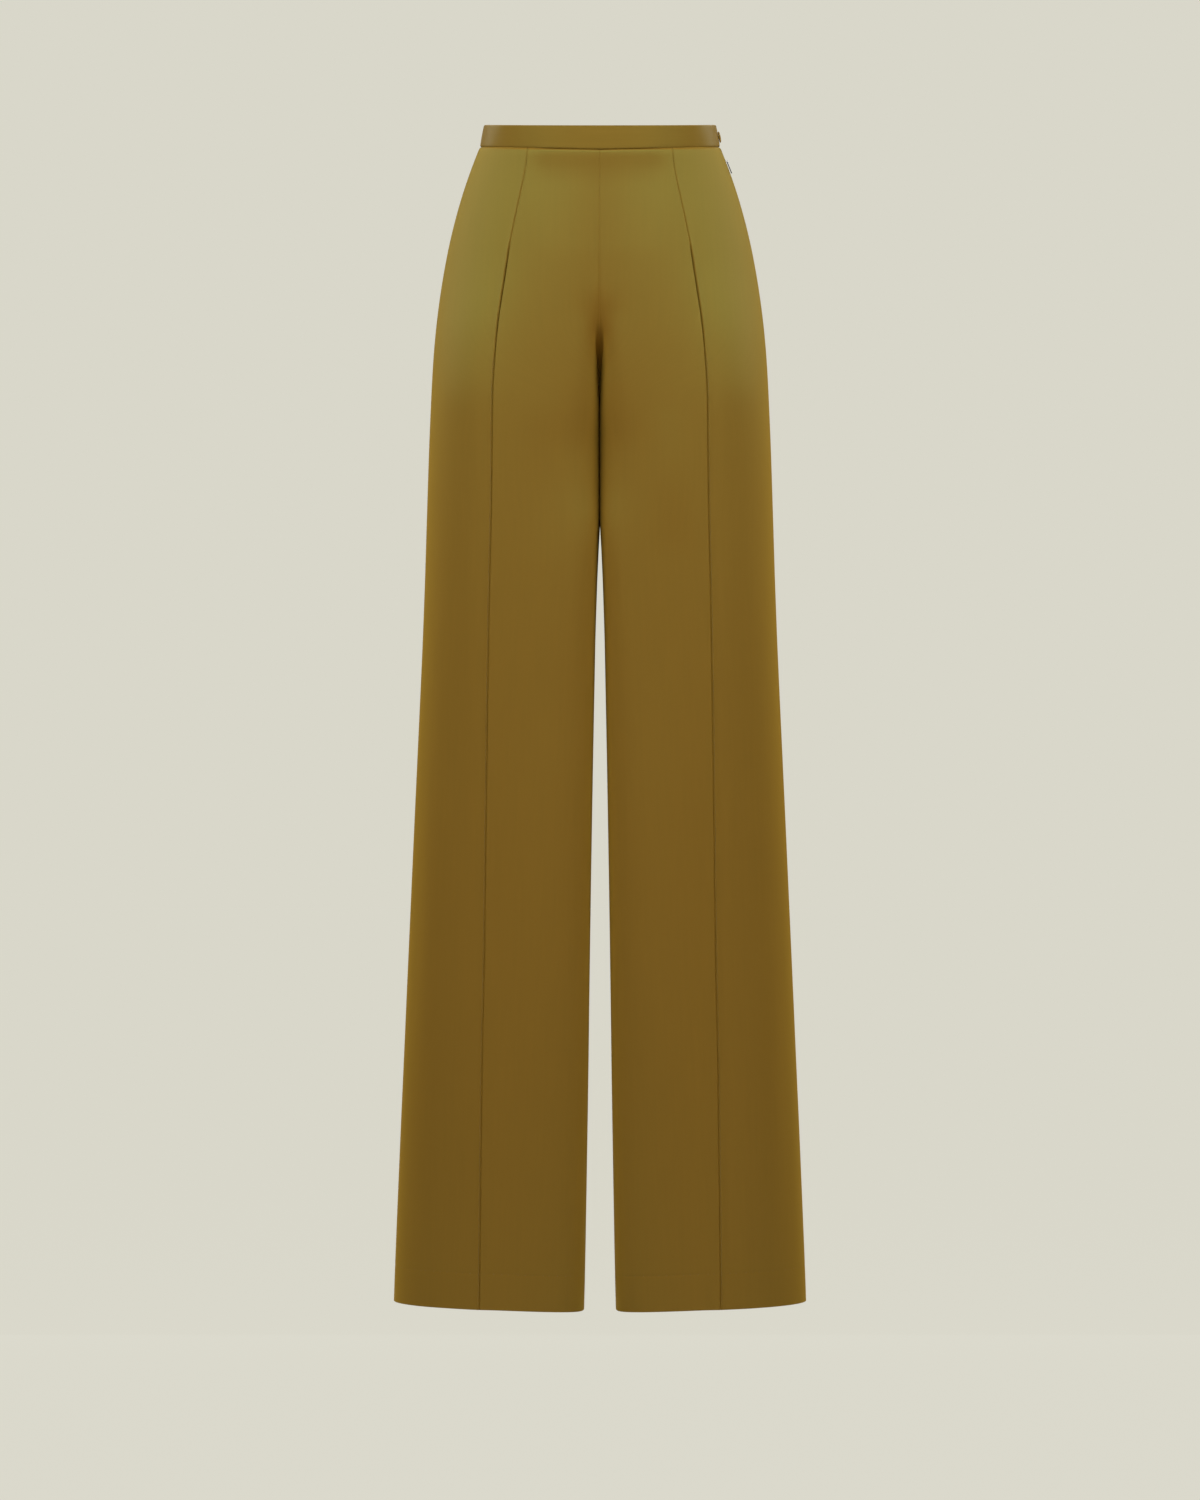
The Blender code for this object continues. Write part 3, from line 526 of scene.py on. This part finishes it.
def band_outline(drop, count=900):
    """The level outline of the band's outer face, from the +X side round by the front."""
    share = drop / 21.5
    side = BAND_SIDE[0] + share * (BAND_SIDE[1] - BAND_SIDE[0])
    front = BAND_FRONT[0] + share * (BAND_FRONT[1] - BAND_FRONT[0])
    back = BAND_BACK[0] + share * (BAND_BACK[1] - BAND_BACK[0])
    cos, sin = quarter(BODY_POWER, 0, math.pi / 2, count // 4)
    a = np.column_stack([side * cos, -front * sin])[:-1]
    b = np.column_stack([-side * cos[::-1], -front * sin[::-1]])[:-1]
    c = np.column_stack([-side * cos, back * sin])[:-1]
    d = np.column_stack([side * cos[::-1], back * sin[::-1]])
    return np.concatenate([a, b, c, d])


def band_points(shares, out, drop):
    """Points at shares of the way round (from the +X side by the front), moved out level."""
    outline = band_outline(drop)
    run = lengths(outline)
    s = (np.asarray(shares) % 1.0) * run[-1]
    step = 1.0
    ends = []
    for where in (s, (s + step) % run[-1], (s - step) % run[-1]):
        ends.append(np.column_stack([np.interp(where, run, outline[:, i]) for i in (0, 1)]))
    tangent = ends[1] - ends[2]
    normal = np.column_stack([-tangent[:, 1], tangent[:, 0]])
    normal /= np.linalg.norm(normal, axis=1, keepdims=True)
    normal *= np.sign((normal * ends[0]).sum(axis=1, keepdims=True))
    flat = ends[0] + normal * np.reshape(out, (-1, 1))
    return np.column_stack([flat, height(flat[:, 0], flat[:, 1], drop)])


def waistband(satin):
    """The folded band, with the lapped end over the underlap at the +X side."""
    whole = lengths(band_outline(BAND_HEIGHT / 2))[-1]
    ends = [0.0, 0.2, 0.5, 1.0, 2.0]
    run = spread(-LAP_END, whole + UNDERLAP_END, ends, ends, 420)
    inwards = (BAND_WALL + LAP_GAP) * ease(whole - SHIFT_END, whole - SHIFT_START, run)
    end_gap = np.minimum(run + LAP_END, whole + UNDERLAP_END - run)
    middle_line = band_points(run / whole, np.zeros(len(run)), BAND_HEIGHT / 2)
    aside = np.abs(middle_line[:, 0])
    tip = BAND_TIP[1] * ease(50, 70, aside) * (1 - ease(96, 110, aside))
    tip = (tip - BAND_TIP[0] * (1 - ease(40, 62, aside))) * ease(10, 40, -middle_line[:, 1])
    rounded = 0.8 - np.sqrt(np.clip(0.8**2 - np.clip(0.8 - end_gap, 0, 0.8) ** 2, 0, None))
    rings = []
    for out, drop in BAND_PROFILE:
        middle = -BAND_WALL / 2
        shrunk = middle + (out - middle) * (1 - rounded / 1.1)
        tipped = tip * (1 - 2 * drop / BAND_HEIGHT)
        rings.append(band_points(run / whole, shrunk - inwards + tipped, drop))
    grid = np.array(rings)
    count, columns = grid.shape[:2]
    index = np.arange(count * columns).reshape(count, columns)
    after = np.roll(index, -1, axis=0)
    quads = np.stack([index[:, :-1], after[:, :-1], after[:, 1:], index[:, 1:]], -1).reshape(-1, 4)
    faces = quads.tolist() + [index[:, 0].tolist(), index[::-1, -1].tolist()]
    uv = np.array([(r * MM, drop * MM) for _, drop in BAND_PROFILE for r in run])
    return put("waistband_cloth", grid.reshape(-1, 3), faces, satin, uv)


# ---------------------------------------------------------------- button, buttonhole, stitches

def local_frame(point, out, down):
    """Axes with u out of the cloth, v down it and w across, and their origin."""
    u = Vector(out).normalized()
    v = Vector(down)
    v = (v - u * v.dot(u)).normalized()
    w = u.cross(v)
    return np.array([u[:], v[:], w[:]]).T, np.asarray(point, float)


def placed(points, place):
    """Points of a local frame, in the part's own."""
    axes, point = place
    return np.asarray(points, float) @ axes.T + point


def button_place():
    """The button's local frame on the lapped end of the band."""
    share = 4.0 / lengths(band_outline(BUTTON_DROP))[-1]
    point, outside = (band_points([share], [out], BUTTON_DROP)[0] for out in (0.0, 1.0))
    above, below = (band_points([share], [0.0], BUTTON_DROP + d)[0] for d in (-4, 4))
    down = below - above
    out = outside - point
    out[2] = 0
    out = out / np.linalg.norm(out) + np.array([0, 0, 0.2])
    return local_frame(point, out, down)


def turned(profile, steps, wave=None):
    """A (u, radius) profile turned about u, from the axis to the axis."""
    points = [(profile[0][0], 0, 0)]
    for u, radius in profile[1:-1]:
        for k in range(steps):
            angle = 2 * math.pi * k / steps
            r = radius * (1 + (wave(u, angle) if wave else 0))
            points.append((u, r * math.cos(angle), r * math.sin(angle)))
    points.append((profile[-1][0], 0, 0))
    rings = len(profile) - 2
    faces = [(0, 1 + (k + 1) % steps, 1 + k) for k in range(steps)]
    for r in range(rings - 1):
        a, b = 1 + r * steps, 1 + (r + 1) * steps
        faces += [(a + k, a + (k + 1) % steps, b + (k + 1) % steps, b + k) for k in range(steps)]
    a = 1 + (rings - 1) * steps
    faces += [(a + k, a + (k + 1) % steps, len(points) - 1) for k in range(steps)]
    return points, faces


def button(satin, thread):
    """The covered button and the thread shank that holds it."""
    place = button_place()
    dome = [(0.3, 0.0), (0.3, 2.0), (0.32, 4.0), (0.42, 4.9), (0.62, 5.35), (0.9, 5.6), (1.2, 5.66)]
    dome += [(1.5, 5.5), (1.8, 5.1), (2.05, 4.4), (2.25, 3.4), (2.38, 2.2), (2.44, 1.0), (2.45, 0.0)]

    def gathered(u, angle):
        """Small pleats where the cloth is drawn in under the rim."""
        under = max(0.0, (1.1 - u) / 0.8)
        return 0.018 * under * math.sin(17 * angle) + 0.008 * under * math.sin(31 * angle + 1)

    points, faces = turned(dome, 96, gathered)
    uv = [(p[1] * MM, p[2] * MM) for p in points]
    cover = put("button_cover", placed(points, place), faces, satin, uv)
    shank = [(-2.3, 0.0), (-2.3, 0.9), (-2.0, 1.05), (-1.0, 0.9), (0.0, 0.95), (0.35, 1.2), (0.4, 0.0)]
    points, faces = turned(shank, 24, lambda u, angle: 0.08 * math.sin(6 * angle + 4 * u))
    stem = put("button_thread", placed(points, place), faces, thread)
    return cover, stem


def capsules(segments, radius, sides=6):
    """Points and faces of short stitches: each a thin bar between two points, with pointed ends."""
    points, faces = [], []
    for start, end, up in segments:
        start, end, up = np.array(start), np.array(end), np.array(up)
        along = end - start
        size = np.linalg.norm(along)
        along = along / size
        across = np.cross(along, up)
        across /= np.linalg.norm(across)
        lift = np.cross(across, along)
        base = len(points)
        points.append(start)
        for share, grow in ((0.12, 0.75), (0.5, 1.0), (0.88, 0.75)):
            middle = start + along * size * share
            for k in range(sides):
                angle = 2 * math.pi * k / sides
                offset = across * math.cos(angle) + lift * math.sin(angle)
                points.append(middle + offset * radius * grow)
        points.append(end)
        for k in range(sides):
            after = (k + 1) % sides
            faces.append((base, base + 1 + after, base + 1 + k))
            for ring in (0, 1):
                a, b = base + 1 + ring * sides, base + 1 + (ring + 1) * sides
                faces.append((a + k, a + after, b + after, b + k))
            a = base + 1 + 2 * sides
            faces.append((a + k, a + after, base + 1 + 3 * sides))
    return np.array(points), faces


def buttonhole(thread):
    """Close stitches round the slot under the button, on the lapped end of the band."""
    axes, point = button_place()
    half, wide, pitch = 6.4, 1.15, 0.42
    segments = []
    path = [(s, side) for side in (-1, 1) for s in np.arange(-half, half + 0.01, pitch)]
    for s, side in path:
        inside = np.array([0.12, side * 0.35, s])
        outside = np.array([0.12, side * (0.35 + wide), s])
        segments.append((placed(inside, (axes, point)), placed(outside, (axes, point)), axes[:, 0]))
    for end in (-1, 1):
        for v in np.arange(-1.4, 1.41, pitch):
            inside = np.array([0.14, v, end * half])
            outside = np.array([0.14, v, end * (half + 1.2)])
            segments.append((placed(inside, (axes, point)), placed(outside, (axes, point)), axes[:, 0]))
    fitted = []
    for start, end, up in segments:
        fitted.append((on_band(start), on_band(end), up))
    points, faces = capsules(fitted, 0.2)
    return put("buttonhole_stitches", points, faces, thread)


def on_band(point):
    """The nearest place on the band's outer face to a point near it, a little proud of it."""
    drop = BUTTON_DROP - (point[2] - button_place()[1][2])
    outline = band_outline(drop)
    gaps = np.hypot(outline[:, 0] - point[0], outline[:, 1] - point[1])
    run = lengths(outline)
    share = run[int(np.argmin(gaps))] / run[-1]
    return band_points([share], [0.3], drop)[0]


# ---------------------------------------------------------------- zip, hem and crease stitches

ZIP_END = 215.0


def seam_strip(drop, places):
    """Points of the base form at lengths across from the +X side seam, and their level normals."""
    whole, (_, seam, _, _) = half_section(drop)
    here = seam + np.asarray(places, float)
    flat = at_lengths(whole, here)
    tangent = at_lengths(whole, here + 1) - at_lengths(whole, here - 1)
    normal = np.column_stack([tangent[:, 1], -tangent[:, 0]])
    return flat, normal / np.linalg.norm(normal, axis=1, keepdims=True)


def zip_tape(tape, coil_look):
    """Two woven tapes that meet behind the side seam, each with a corded edge, and the coil."""
    rows = np.concatenate([np.arange(26.0, 60.0, 1.5), np.arange(60.0, ZIP_END + 0.1, 5.0)])
    places = np.array([-10, -9.6, -8, -6, -4, -2.6, -2.1, -1.6, -0.12, -0.04])
    places = np.concatenate([places, -places[::-1]])
    cord = 0.45 * np.exp(-(((np.abs(places) - 2.1) / 0.5) ** 2))
    split = 0.35 * (np.abs(places) < 0.1)
    outer, inner, teeth = [], [], []
    for drop in rows:
        flat, normal = seam_strip(drop, places)
        set_in = 1.65 + 2.9 * (1 - ease(43, 56, drop))
        for grid, inwards in ((outer, set_in + split), (inner, set_in + 0.6 + cord)):
            moved = flat - normal * np.reshape(inwards, (-1, 1))
            grid.append(np.column_stack([moved, height(flat[:, 0], flat[:, 1], drop)]))
    for count, drop in enumerate(np.arange(44.0, ZIP_END - 3, 1.25)):
        lift = 0.5 if count % 2 else -0.5
        flat, normal = seam_strip(drop, [-1.3, 1.3])
        set_in = 2.9 + 2.9 * (1 - ease(43, 56, drop))
        moved = flat - normal * set_in
        ends = np.column_stack([moved, height(flat[:, 0], flat[:, 1], drop)])
        ends[0, 2] += lift
        teeth.append((ends[0], ends[1], np.array([*normal[0], 0.0])))
    shape = (len(rows), len(places))
    both = np.concatenate([np.reshape(outer, (-1, 3)), np.reshape(inner, (-1, 3))])
    uv = np.array([(p, r) for r in rows for p in places]) * MM
    strip = put("zip_tape_cloth", both, wall_faces(*shape), tape, np.concatenate([uv, uv]))
    points, faces = capsules(teeth, 0.3)
    return strip, put("zip_coil", points, faces, coil_look)


def on_line(where, run, line):
    """The point of a line, or the normal along it, at a length or drop of its own."""
    return np.array([np.interp(where, run, line[:, i]) for i in range(3)])


def hem_stitches(grids, thread):
    """The blind stitches that hold the hem: small pricks 8 mm apart, all round both legs."""
    segments = []
    for side, which, outer, normal, rows in grids:
        row = int(np.argmin(np.abs(rows - (HEM_DROP - HEM_DEPTH))))
        line = outer[row]
        run = np.concatenate([[0], np.cumsum(np.linalg.norm(np.diff(line, axis=0), axis=1))])
        for k, where in enumerate(np.arange(4.0, run[-1] - 2, 8.0)):
            where += 1.2 * math.sin(2.3 * k + side + len(which))
            at = [on_line(where + d, run, line) for d in (0, 1.1)]
            out = on_line(where, run, normal[row]) * (side, 1, 1)
            lift = out * 0.02
            segments.append((at[0] + lift, at[1] + lift + (0, 0, 0.15), out))
    points, faces = capsules(segments, 0.13)
    return put("hem_stitches", points, faces, thread)


def crease_stitches(grids, thread):
    """Short stitches along the pinched front line, from the foot of the tuck to the hem."""
    segments = []
    for side, which, outer, normal, rows in grids:
        if which != "front":
            continue
        crease = len(spread(0, 100, NEAR_SEAM, NEAR_LINE, COLUMNS[0])) - 1
        column = crease + NEAR_LINE.index(1.2)
        line, facing = outer[:, column], normal[:, column]
        for drop in np.arange(238.0, HEM_DROP - 6, 2.8):
            ends = [on_line(drop + d, rows, line) for d in (0, 2.1)]
            out = on_line(drop, rows, facing) * (side, 1, 1)
            segments.append((ends[0] + out * 0.03, ends[1] + out * 0.03, out))
    points, faces = capsules(segments, 0.12)
    return put("crease_stitches", points, faces, thread)


# ---------------------------------------------------------------- materials

def srgb(r, g, b):
    """Linear colour, with alpha, of an 8-bit display colour."""
    values = [c / 255 for c in (r, g, b)]
    return tuple(c / 12.92 if c <= 0.04045 else ((c + 0.055) / 1.055) ** 2.4 for c in values) + (1.0,)


SATIN_BASE = (0.30, 0.136, 0.017, 1.0)
# the band's body colour: the satin's own colour made lighter and greener, a painted sheen that stands in
# for the lustre and sheen turned down on the band
SATIN_BAND_BODY_WITH_PAINTED_SHEEN = (0.31, 0.185, 0.029, 1.0)
SATIN_LUSTRE = (0.35, 0.935, 0.25, 1.0)
SATIN_BLOOM = (0.70, 0.407, 0.049, 1.0)
THREAD = (0.27, 0.19, 0.035, 1.0)
TAPE = (0.13, 0.085, 0.018, 1.0)
COIL = (0.16, 0.11, 0.03, 1.0)


def noise(nodes, links, vector, scale, detail=1.0):
    """A noise texture over a scaled copy of a vector socket."""
    mapping = nodes.new("ShaderNodeMapping")
    mapping.inputs["Scale"].default_value = scale
    links.new(vector, mapping.inputs["Vector"])
    texture = nodes.new("ShaderNodeTexNoise")
    texture.inputs["Scale"].default_value = 1.0
    texture.inputs["Detail"].default_value = detail
    links.new(mapping.outputs["Vector"], texture.inputs["Vector"])
    return texture.outputs["Fac"]


def between(nodes, links, value, low, high):
    """A value from 0 to 1 spread between two numbers."""
    spread_out = nodes.new("ShaderNodeMapRange")
    spread_out.inputs["To Min"].default_value = low
    spread_out.inputs["To Max"].default_value = high
    links.new(value, spread_out.inputs["Value"])
    return spread_out.outputs["Result"]


def shaded(nodes, links, colour, tone):
    """A colour times a tone socket."""
    shade = nodes.new("ShaderNodeVectorMath")
    shade.operation = "SCALE"
    shade.inputs[0].default_value = colour[:3]
    links.new(tone, shade.inputs["Scale"])
    return shade.outputs["Vector"]


def bumped(nodes, links, shader, height_value, strength, distance):
    bump = nodes.new("ShaderNodeBump")
    bump.inputs["Strength"].default_value = strength
    bump.inputs["Distance"].default_value = distance
    links.new(height_value, bump.inputs["Height"])
    links.new(bump.outputs["Normal"], shader.inputs["Normal"])


def satin_material(name, turn=False, roughness=0.58, stretch=0.85, bloom=1.0, lustre=1.0, body=SATIN_BASE):
    """Cross-dyed satin: a brown-olive body with a yellow-green lustre across the warp floats.

    turn is for cloth cut across: its warp runs along u, not down v.
    """
    made = bpy.data.materials.new(name)
    made.use_nodes = True
    nodes, links = made.node_tree.nodes, made.node_tree.links
    shader = nodes["Principled BSDF"]
    shader.inputs["Roughness"].default_value = roughness
    shader.inputs["Anisotropic"].default_value = stretch
    shader.inputs["Specular IOR Level"].default_value = lustre
    shader.inputs["IOR"].default_value = 1.6
    shader.inputs["Specular Tint"].default_value = SATIN_LUSTRE
    shader.inputs["Sheen Weight"].default_value = bloom
    shader.inputs["Sheen Roughness"].default_value = 0.6
    shader.inputs["Sheen Tint"].default_value = SATIN_BLOOM
    shader.inputs["Anisotropic Rotation"].default_value = 0.25 if turn else 0.0
    tangent = nodes.new("ShaderNodeTangent")
    tangent.direction_type = "UV_MAP"
    tangent.uv_map = "weave"
    links.new(tangent.outputs["Tangent"], shader.inputs["Tangent"])
    place = nodes.new("ShaderNodeUVMap")
    place.uv_map = "weave"
    weave = noise(nodes, links, place.outputs["UV"], (420, 2600, 1) if turn else (2600, 420, 1))
    slubs = noise(nodes, links, place.outputs["UV"], (14, 260, 1) if turn else (260, 14, 1), 3.0)
    tone = between(nodes, links, slubs, 0.94, 1.06)
    links.new(shaded(nodes, links, body, tone), shader.inputs["Base Color"])
    bumped(nodes, links, shader, weave, 0.25, 0.00004)
    return made


def thread_material():
    """Twisted polyester thread in the cloth's colour."""
    made = bpy.data.materials.new("thread")
    made.use_nodes = True
    nodes, links = made.node_tree.nodes, made.node_tree.links
    shader = nodes["Principled BSDF"]
    shader.inputs["Roughness"].default_value = 0.5
    shader.inputs["Sheen Weight"].default_value = 0.4
    place = nodes.new("ShaderNodeTexCoord")
    twist = noise(nodes, links, place.outputs["Object"], (2500, 2500, 900), 2.0)
    tone = between(nodes, links, twist, 0.8, 1.2)
    links.new(shaded(nodes, links, THREAD, tone), shader.inputs["Base Color"])
    bumped(nodes, links, shader, twist, 0.4, 0.00005)
    return made


def tape_material(name, colour):
    """Matt tape in a fine herringbone weave."""
    made = bpy.data.materials.new(name)
    made.use_nodes = True
    nodes, links = made.node_tree.nodes, made.node_tree.links
    shader = nodes["Principled BSDF"]
    shader.inputs["Roughness"].default_value = 0.85
    shader.inputs["Sheen Weight"].default_value = 0.3
    shader.inputs["Sheen Roughness"].default_value = 0.5
    place = nodes.new("ShaderNodeUVMap")
    place.uv_map = "weave"
    wave = nodes.new("ShaderNodeTexWave")
    wave.bands_direction = "DIAGONAL"
    wave.inputs["Scale"].default_value = 420.0
    wave.inputs["Distortion"].default_value = 0.6
    links.new(place.outputs["UV"], wave.inputs["Vector"])
    tone = between(nodes, links, wave.outputs["Fac"], 0.75, 1.15)
    links.new(shaded(nodes, links, colour, tone), shader.inputs["Base Color"])
    bumped(nodes, links, shader, wave.outputs["Fac"], 0.5, 0.0001)
    return made


def metal_material(name, colour, low, high):
    """Plated metal with fine rubbing marks and a slightly uneven finish."""
    made = bpy.data.materials.new(name)
    made.use_nodes = True
    nodes, links = made.node_tree.nodes, made.node_tree.links
    shader = nodes["Principled BSDF"]
    shader.inputs["Metallic"].default_value = 1.0
    place = nodes.new("ShaderNodeTexCoord")
    rubbed = noise(nodes, links, place.outputs["Object"], (900, 900, 5200), 3.0)
    worn = noise(nodes, links, place.outputs["Object"], (420, 420, 420), 2.0)
    links.new(between(nodes, links, rubbed, low, high), shader.inputs["Roughness"])
    tone = between(nodes, links, worn, 0.85, 1.15)
    links.new(shaded(nodes, links, colour, tone), shader.inputs["Base Color"])
    bumped(nodes, links, shader, rubbed, 0.15, 0.00002)
    return made


# ---------------------------------------------------------------- camera and lights

CAMERA_DISTANCE = 6.5
PHOTO_HEIGHT_MM = 1500
TOP_EDGE_IN_PHOTO = 125.3  # millimetres (and pixels) from the photograph's top to the waist's
SENSOR_MM = 36.0


def camera():
    """Level and straight in front, with the photograph's framing."""
    data = bpy.data.cameras.new("camera")
    data.sensor_width = SENSOR_MM
    data.lens = SENSOR_MM * CAMERA_DISTANCE / (PHOTO_HEIGHT_MM * MM)
    data.clip_end = 100
    made = bpy.data.objects.new("camera", data)
    level = (TOP - (PHOTO_HEIGHT_MM / 2 - TOP_EDGE_IN_PHOTO)) * MM
    made.location = (0, -CAMERA_DISTANCE, level)
    made.rotation_euler = (math.pi / 2, 0, 0)
    bpy.context.scene.collection.objects.link(made)
    bpy.context.scene.camera = made


BACKDROP = srgb(217, 215, 202)


def softbox(name, place, size, power):
    """A softbox at (azimuth, elevation, distance) of a point at a height on the centre line.

    Azimuth 0 is in front and 90 on the +X side; the box faces that point.
    """
    azimuth, elevation, distance, level = place
    data = bpy.data.lights.new(name, "AREA")
    data.shape = "RECTANGLE"
    data.size, data.size_y = size
    data.energy = power
    made = bpy.data.objects.new(name, data)
    a, e = math.radians(azimuth), math.radians(elevation)
    away = Vector((math.sin(a) * math.cos(e), -math.cos(a) * math.cos(e), math.sin(e)))
    made.location = Vector((0, 0, level)) + away * distance
    made.rotation_euler = away.to_track_quat("Z", "Y").to_euler()
    made.visible_camera = False
    bpy.context.scene.collection.objects.link(made)


WIDE, SMALL, LOW = (2.6, 1.1), (0.9, 0.9), (1.0, 1.0)
# (name, (azimuth, elevation, distance, level), size, watts); one with an azimuth has a twin
LIGHTS = [
    ("key", (40, 45, 4.4, -0.35), WIDE, 38.2), ("main", (40, 30, 4.4, -0.35), WIDE, 27.5),
    ("low", (40, -15, 4.4, -0.35), WIDE, 5.0), ("hip", (60, 15, 1.8, -0.05), SMALL, 3.74),
    ("rim", (115, 15, 1.8, -0.05), SMALL, 5.72), ("leg", (0, 25, 2.2, -0.95), LOW, 4.5),
    ("shin", (60, -25, 2.2, -0.95), LOW, 3.5), ("back", (145, 35, 4.4, -0.35), WIDE, 30.0),
    ("seat", (180, 30, 4.4, -0.5), WIDE, 14.0), ("calf", (180, -10, 3.4, -0.95), WIDE, 16.0),
]
AMBIENT = 0.0  # light that the backdrop gives, beside what the camera sees of it


def studio():
    """Backdrop, floor and softboxes; only the softboxes light the cloth."""
    scene = bpy.context.scene
    scene.view_settings.view_transform = "Standard"
    scene.view_settings.look = "None"
    world = bpy.data.worlds.new("studio")
    world.use_nodes = True
    nodes, links = world.node_tree.nodes, world.node_tree.links
    nodes["Background"].inputs["Color"].default_value = BACKDROP
    seen = nodes.new("ShaderNodeLightPath")
    strength = nodes.new("ShaderNodeMapRange")
    strength.inputs["To Min"].default_value = AMBIENT
    strength.inputs["To Max"].default_value = 1.0
    links.new(seen.outputs["Is Camera Ray"], strength.inputs["Value"])
    links.new(strength.outputs["Result"], nodes["Background"].inputs["Strength"])
    scene.world = world
    for name, (azimuth, *place), size, power in LIGHTS:
        softbox(name, (azimuth, *place), size, power)
        if azimuth % 180:
            softbox(f"{name}_twin", (-azimuth, *place), size, power)
    floor_material = bpy.data.materials.new("floor")
    floor_material.use_nodes = True
    shader = floor_material.node_tree.nodes["Principled BSDF"]
    shader.inputs["Base Color"].default_value = (0.02, 0.02, 0.02, 1)
    shader.inputs["Roughness"].default_value = 1.0
    shader.inputs["Specular IOR Level"].default_value = 0.0
    shader.inputs["Emission Color"].default_value = BACKDROP
    shader.inputs["Emission Strength"].default_value = 1.0
    size = 30000
    corners = [(-size, -size, -1500), (size, -size, -1500), (size, size, -1500), (-size, size, -1500)]
    floor = put("floor", corners, [(0, 1, 2, 3)], floor_material, smooth=False)
    floor.visible_diffuse = False
    floor.visible_glossy = False
    floor.visible_shadow = False


# ---------------------------------------------------------------- run

def main():
    camera()
    satin = satin_material("satin")
    # the band's satin has weak lustre and sheen, and a lighter, greener body colour in their place:
    # painted sheen
    band_satin_painted_sheen = satin_material("satin_band_painted_sheen", turn=True, bloom=0.3, lustre=0.2, body=SATIN_BAND_BODY_WITH_PAINTED_SHEEN)
    thread = thread_material()
    cloth, grids = panels(satin)
    for name, piece in cloth.items():
        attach(piece, "trousers")
        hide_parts(name)
        round(half_area(piece), 3)
    band = waistband(band_satin_painted_sheen)
    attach(band, "trousers")
    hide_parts("waistband")
    cover, stem = button(satin, thread)
    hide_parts("button")
    tape, coil = zip_tape(tape_material("zip_tape", TAPE), tape_material("zip_coil", COIL))
    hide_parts("zip_tape")
    sewing = [cover, stem, buttonhole(thread), hem_stitches(grids, thread), crease_stitches(grids, thread)]
    for piece in sewing:
        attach(piece, "trousers")
    for piece in (tape, coil):
        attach(piece, "trousers")
    silver = metal_material("slider_metal", (0.62, 0.62, 0.6, 1), 0.22, 0.4)
    gunmetal = metal_material("pull_metal", (0.11, 0.11, 0.115, 1), 0.3, 0.5)
    for node, look in (("zip_slider", silver), ("zip_pull", gunmetal)):
        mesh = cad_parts[node].data
        mesh.materials.clear()
        mesh.materials.append(look)
    studio()


main()
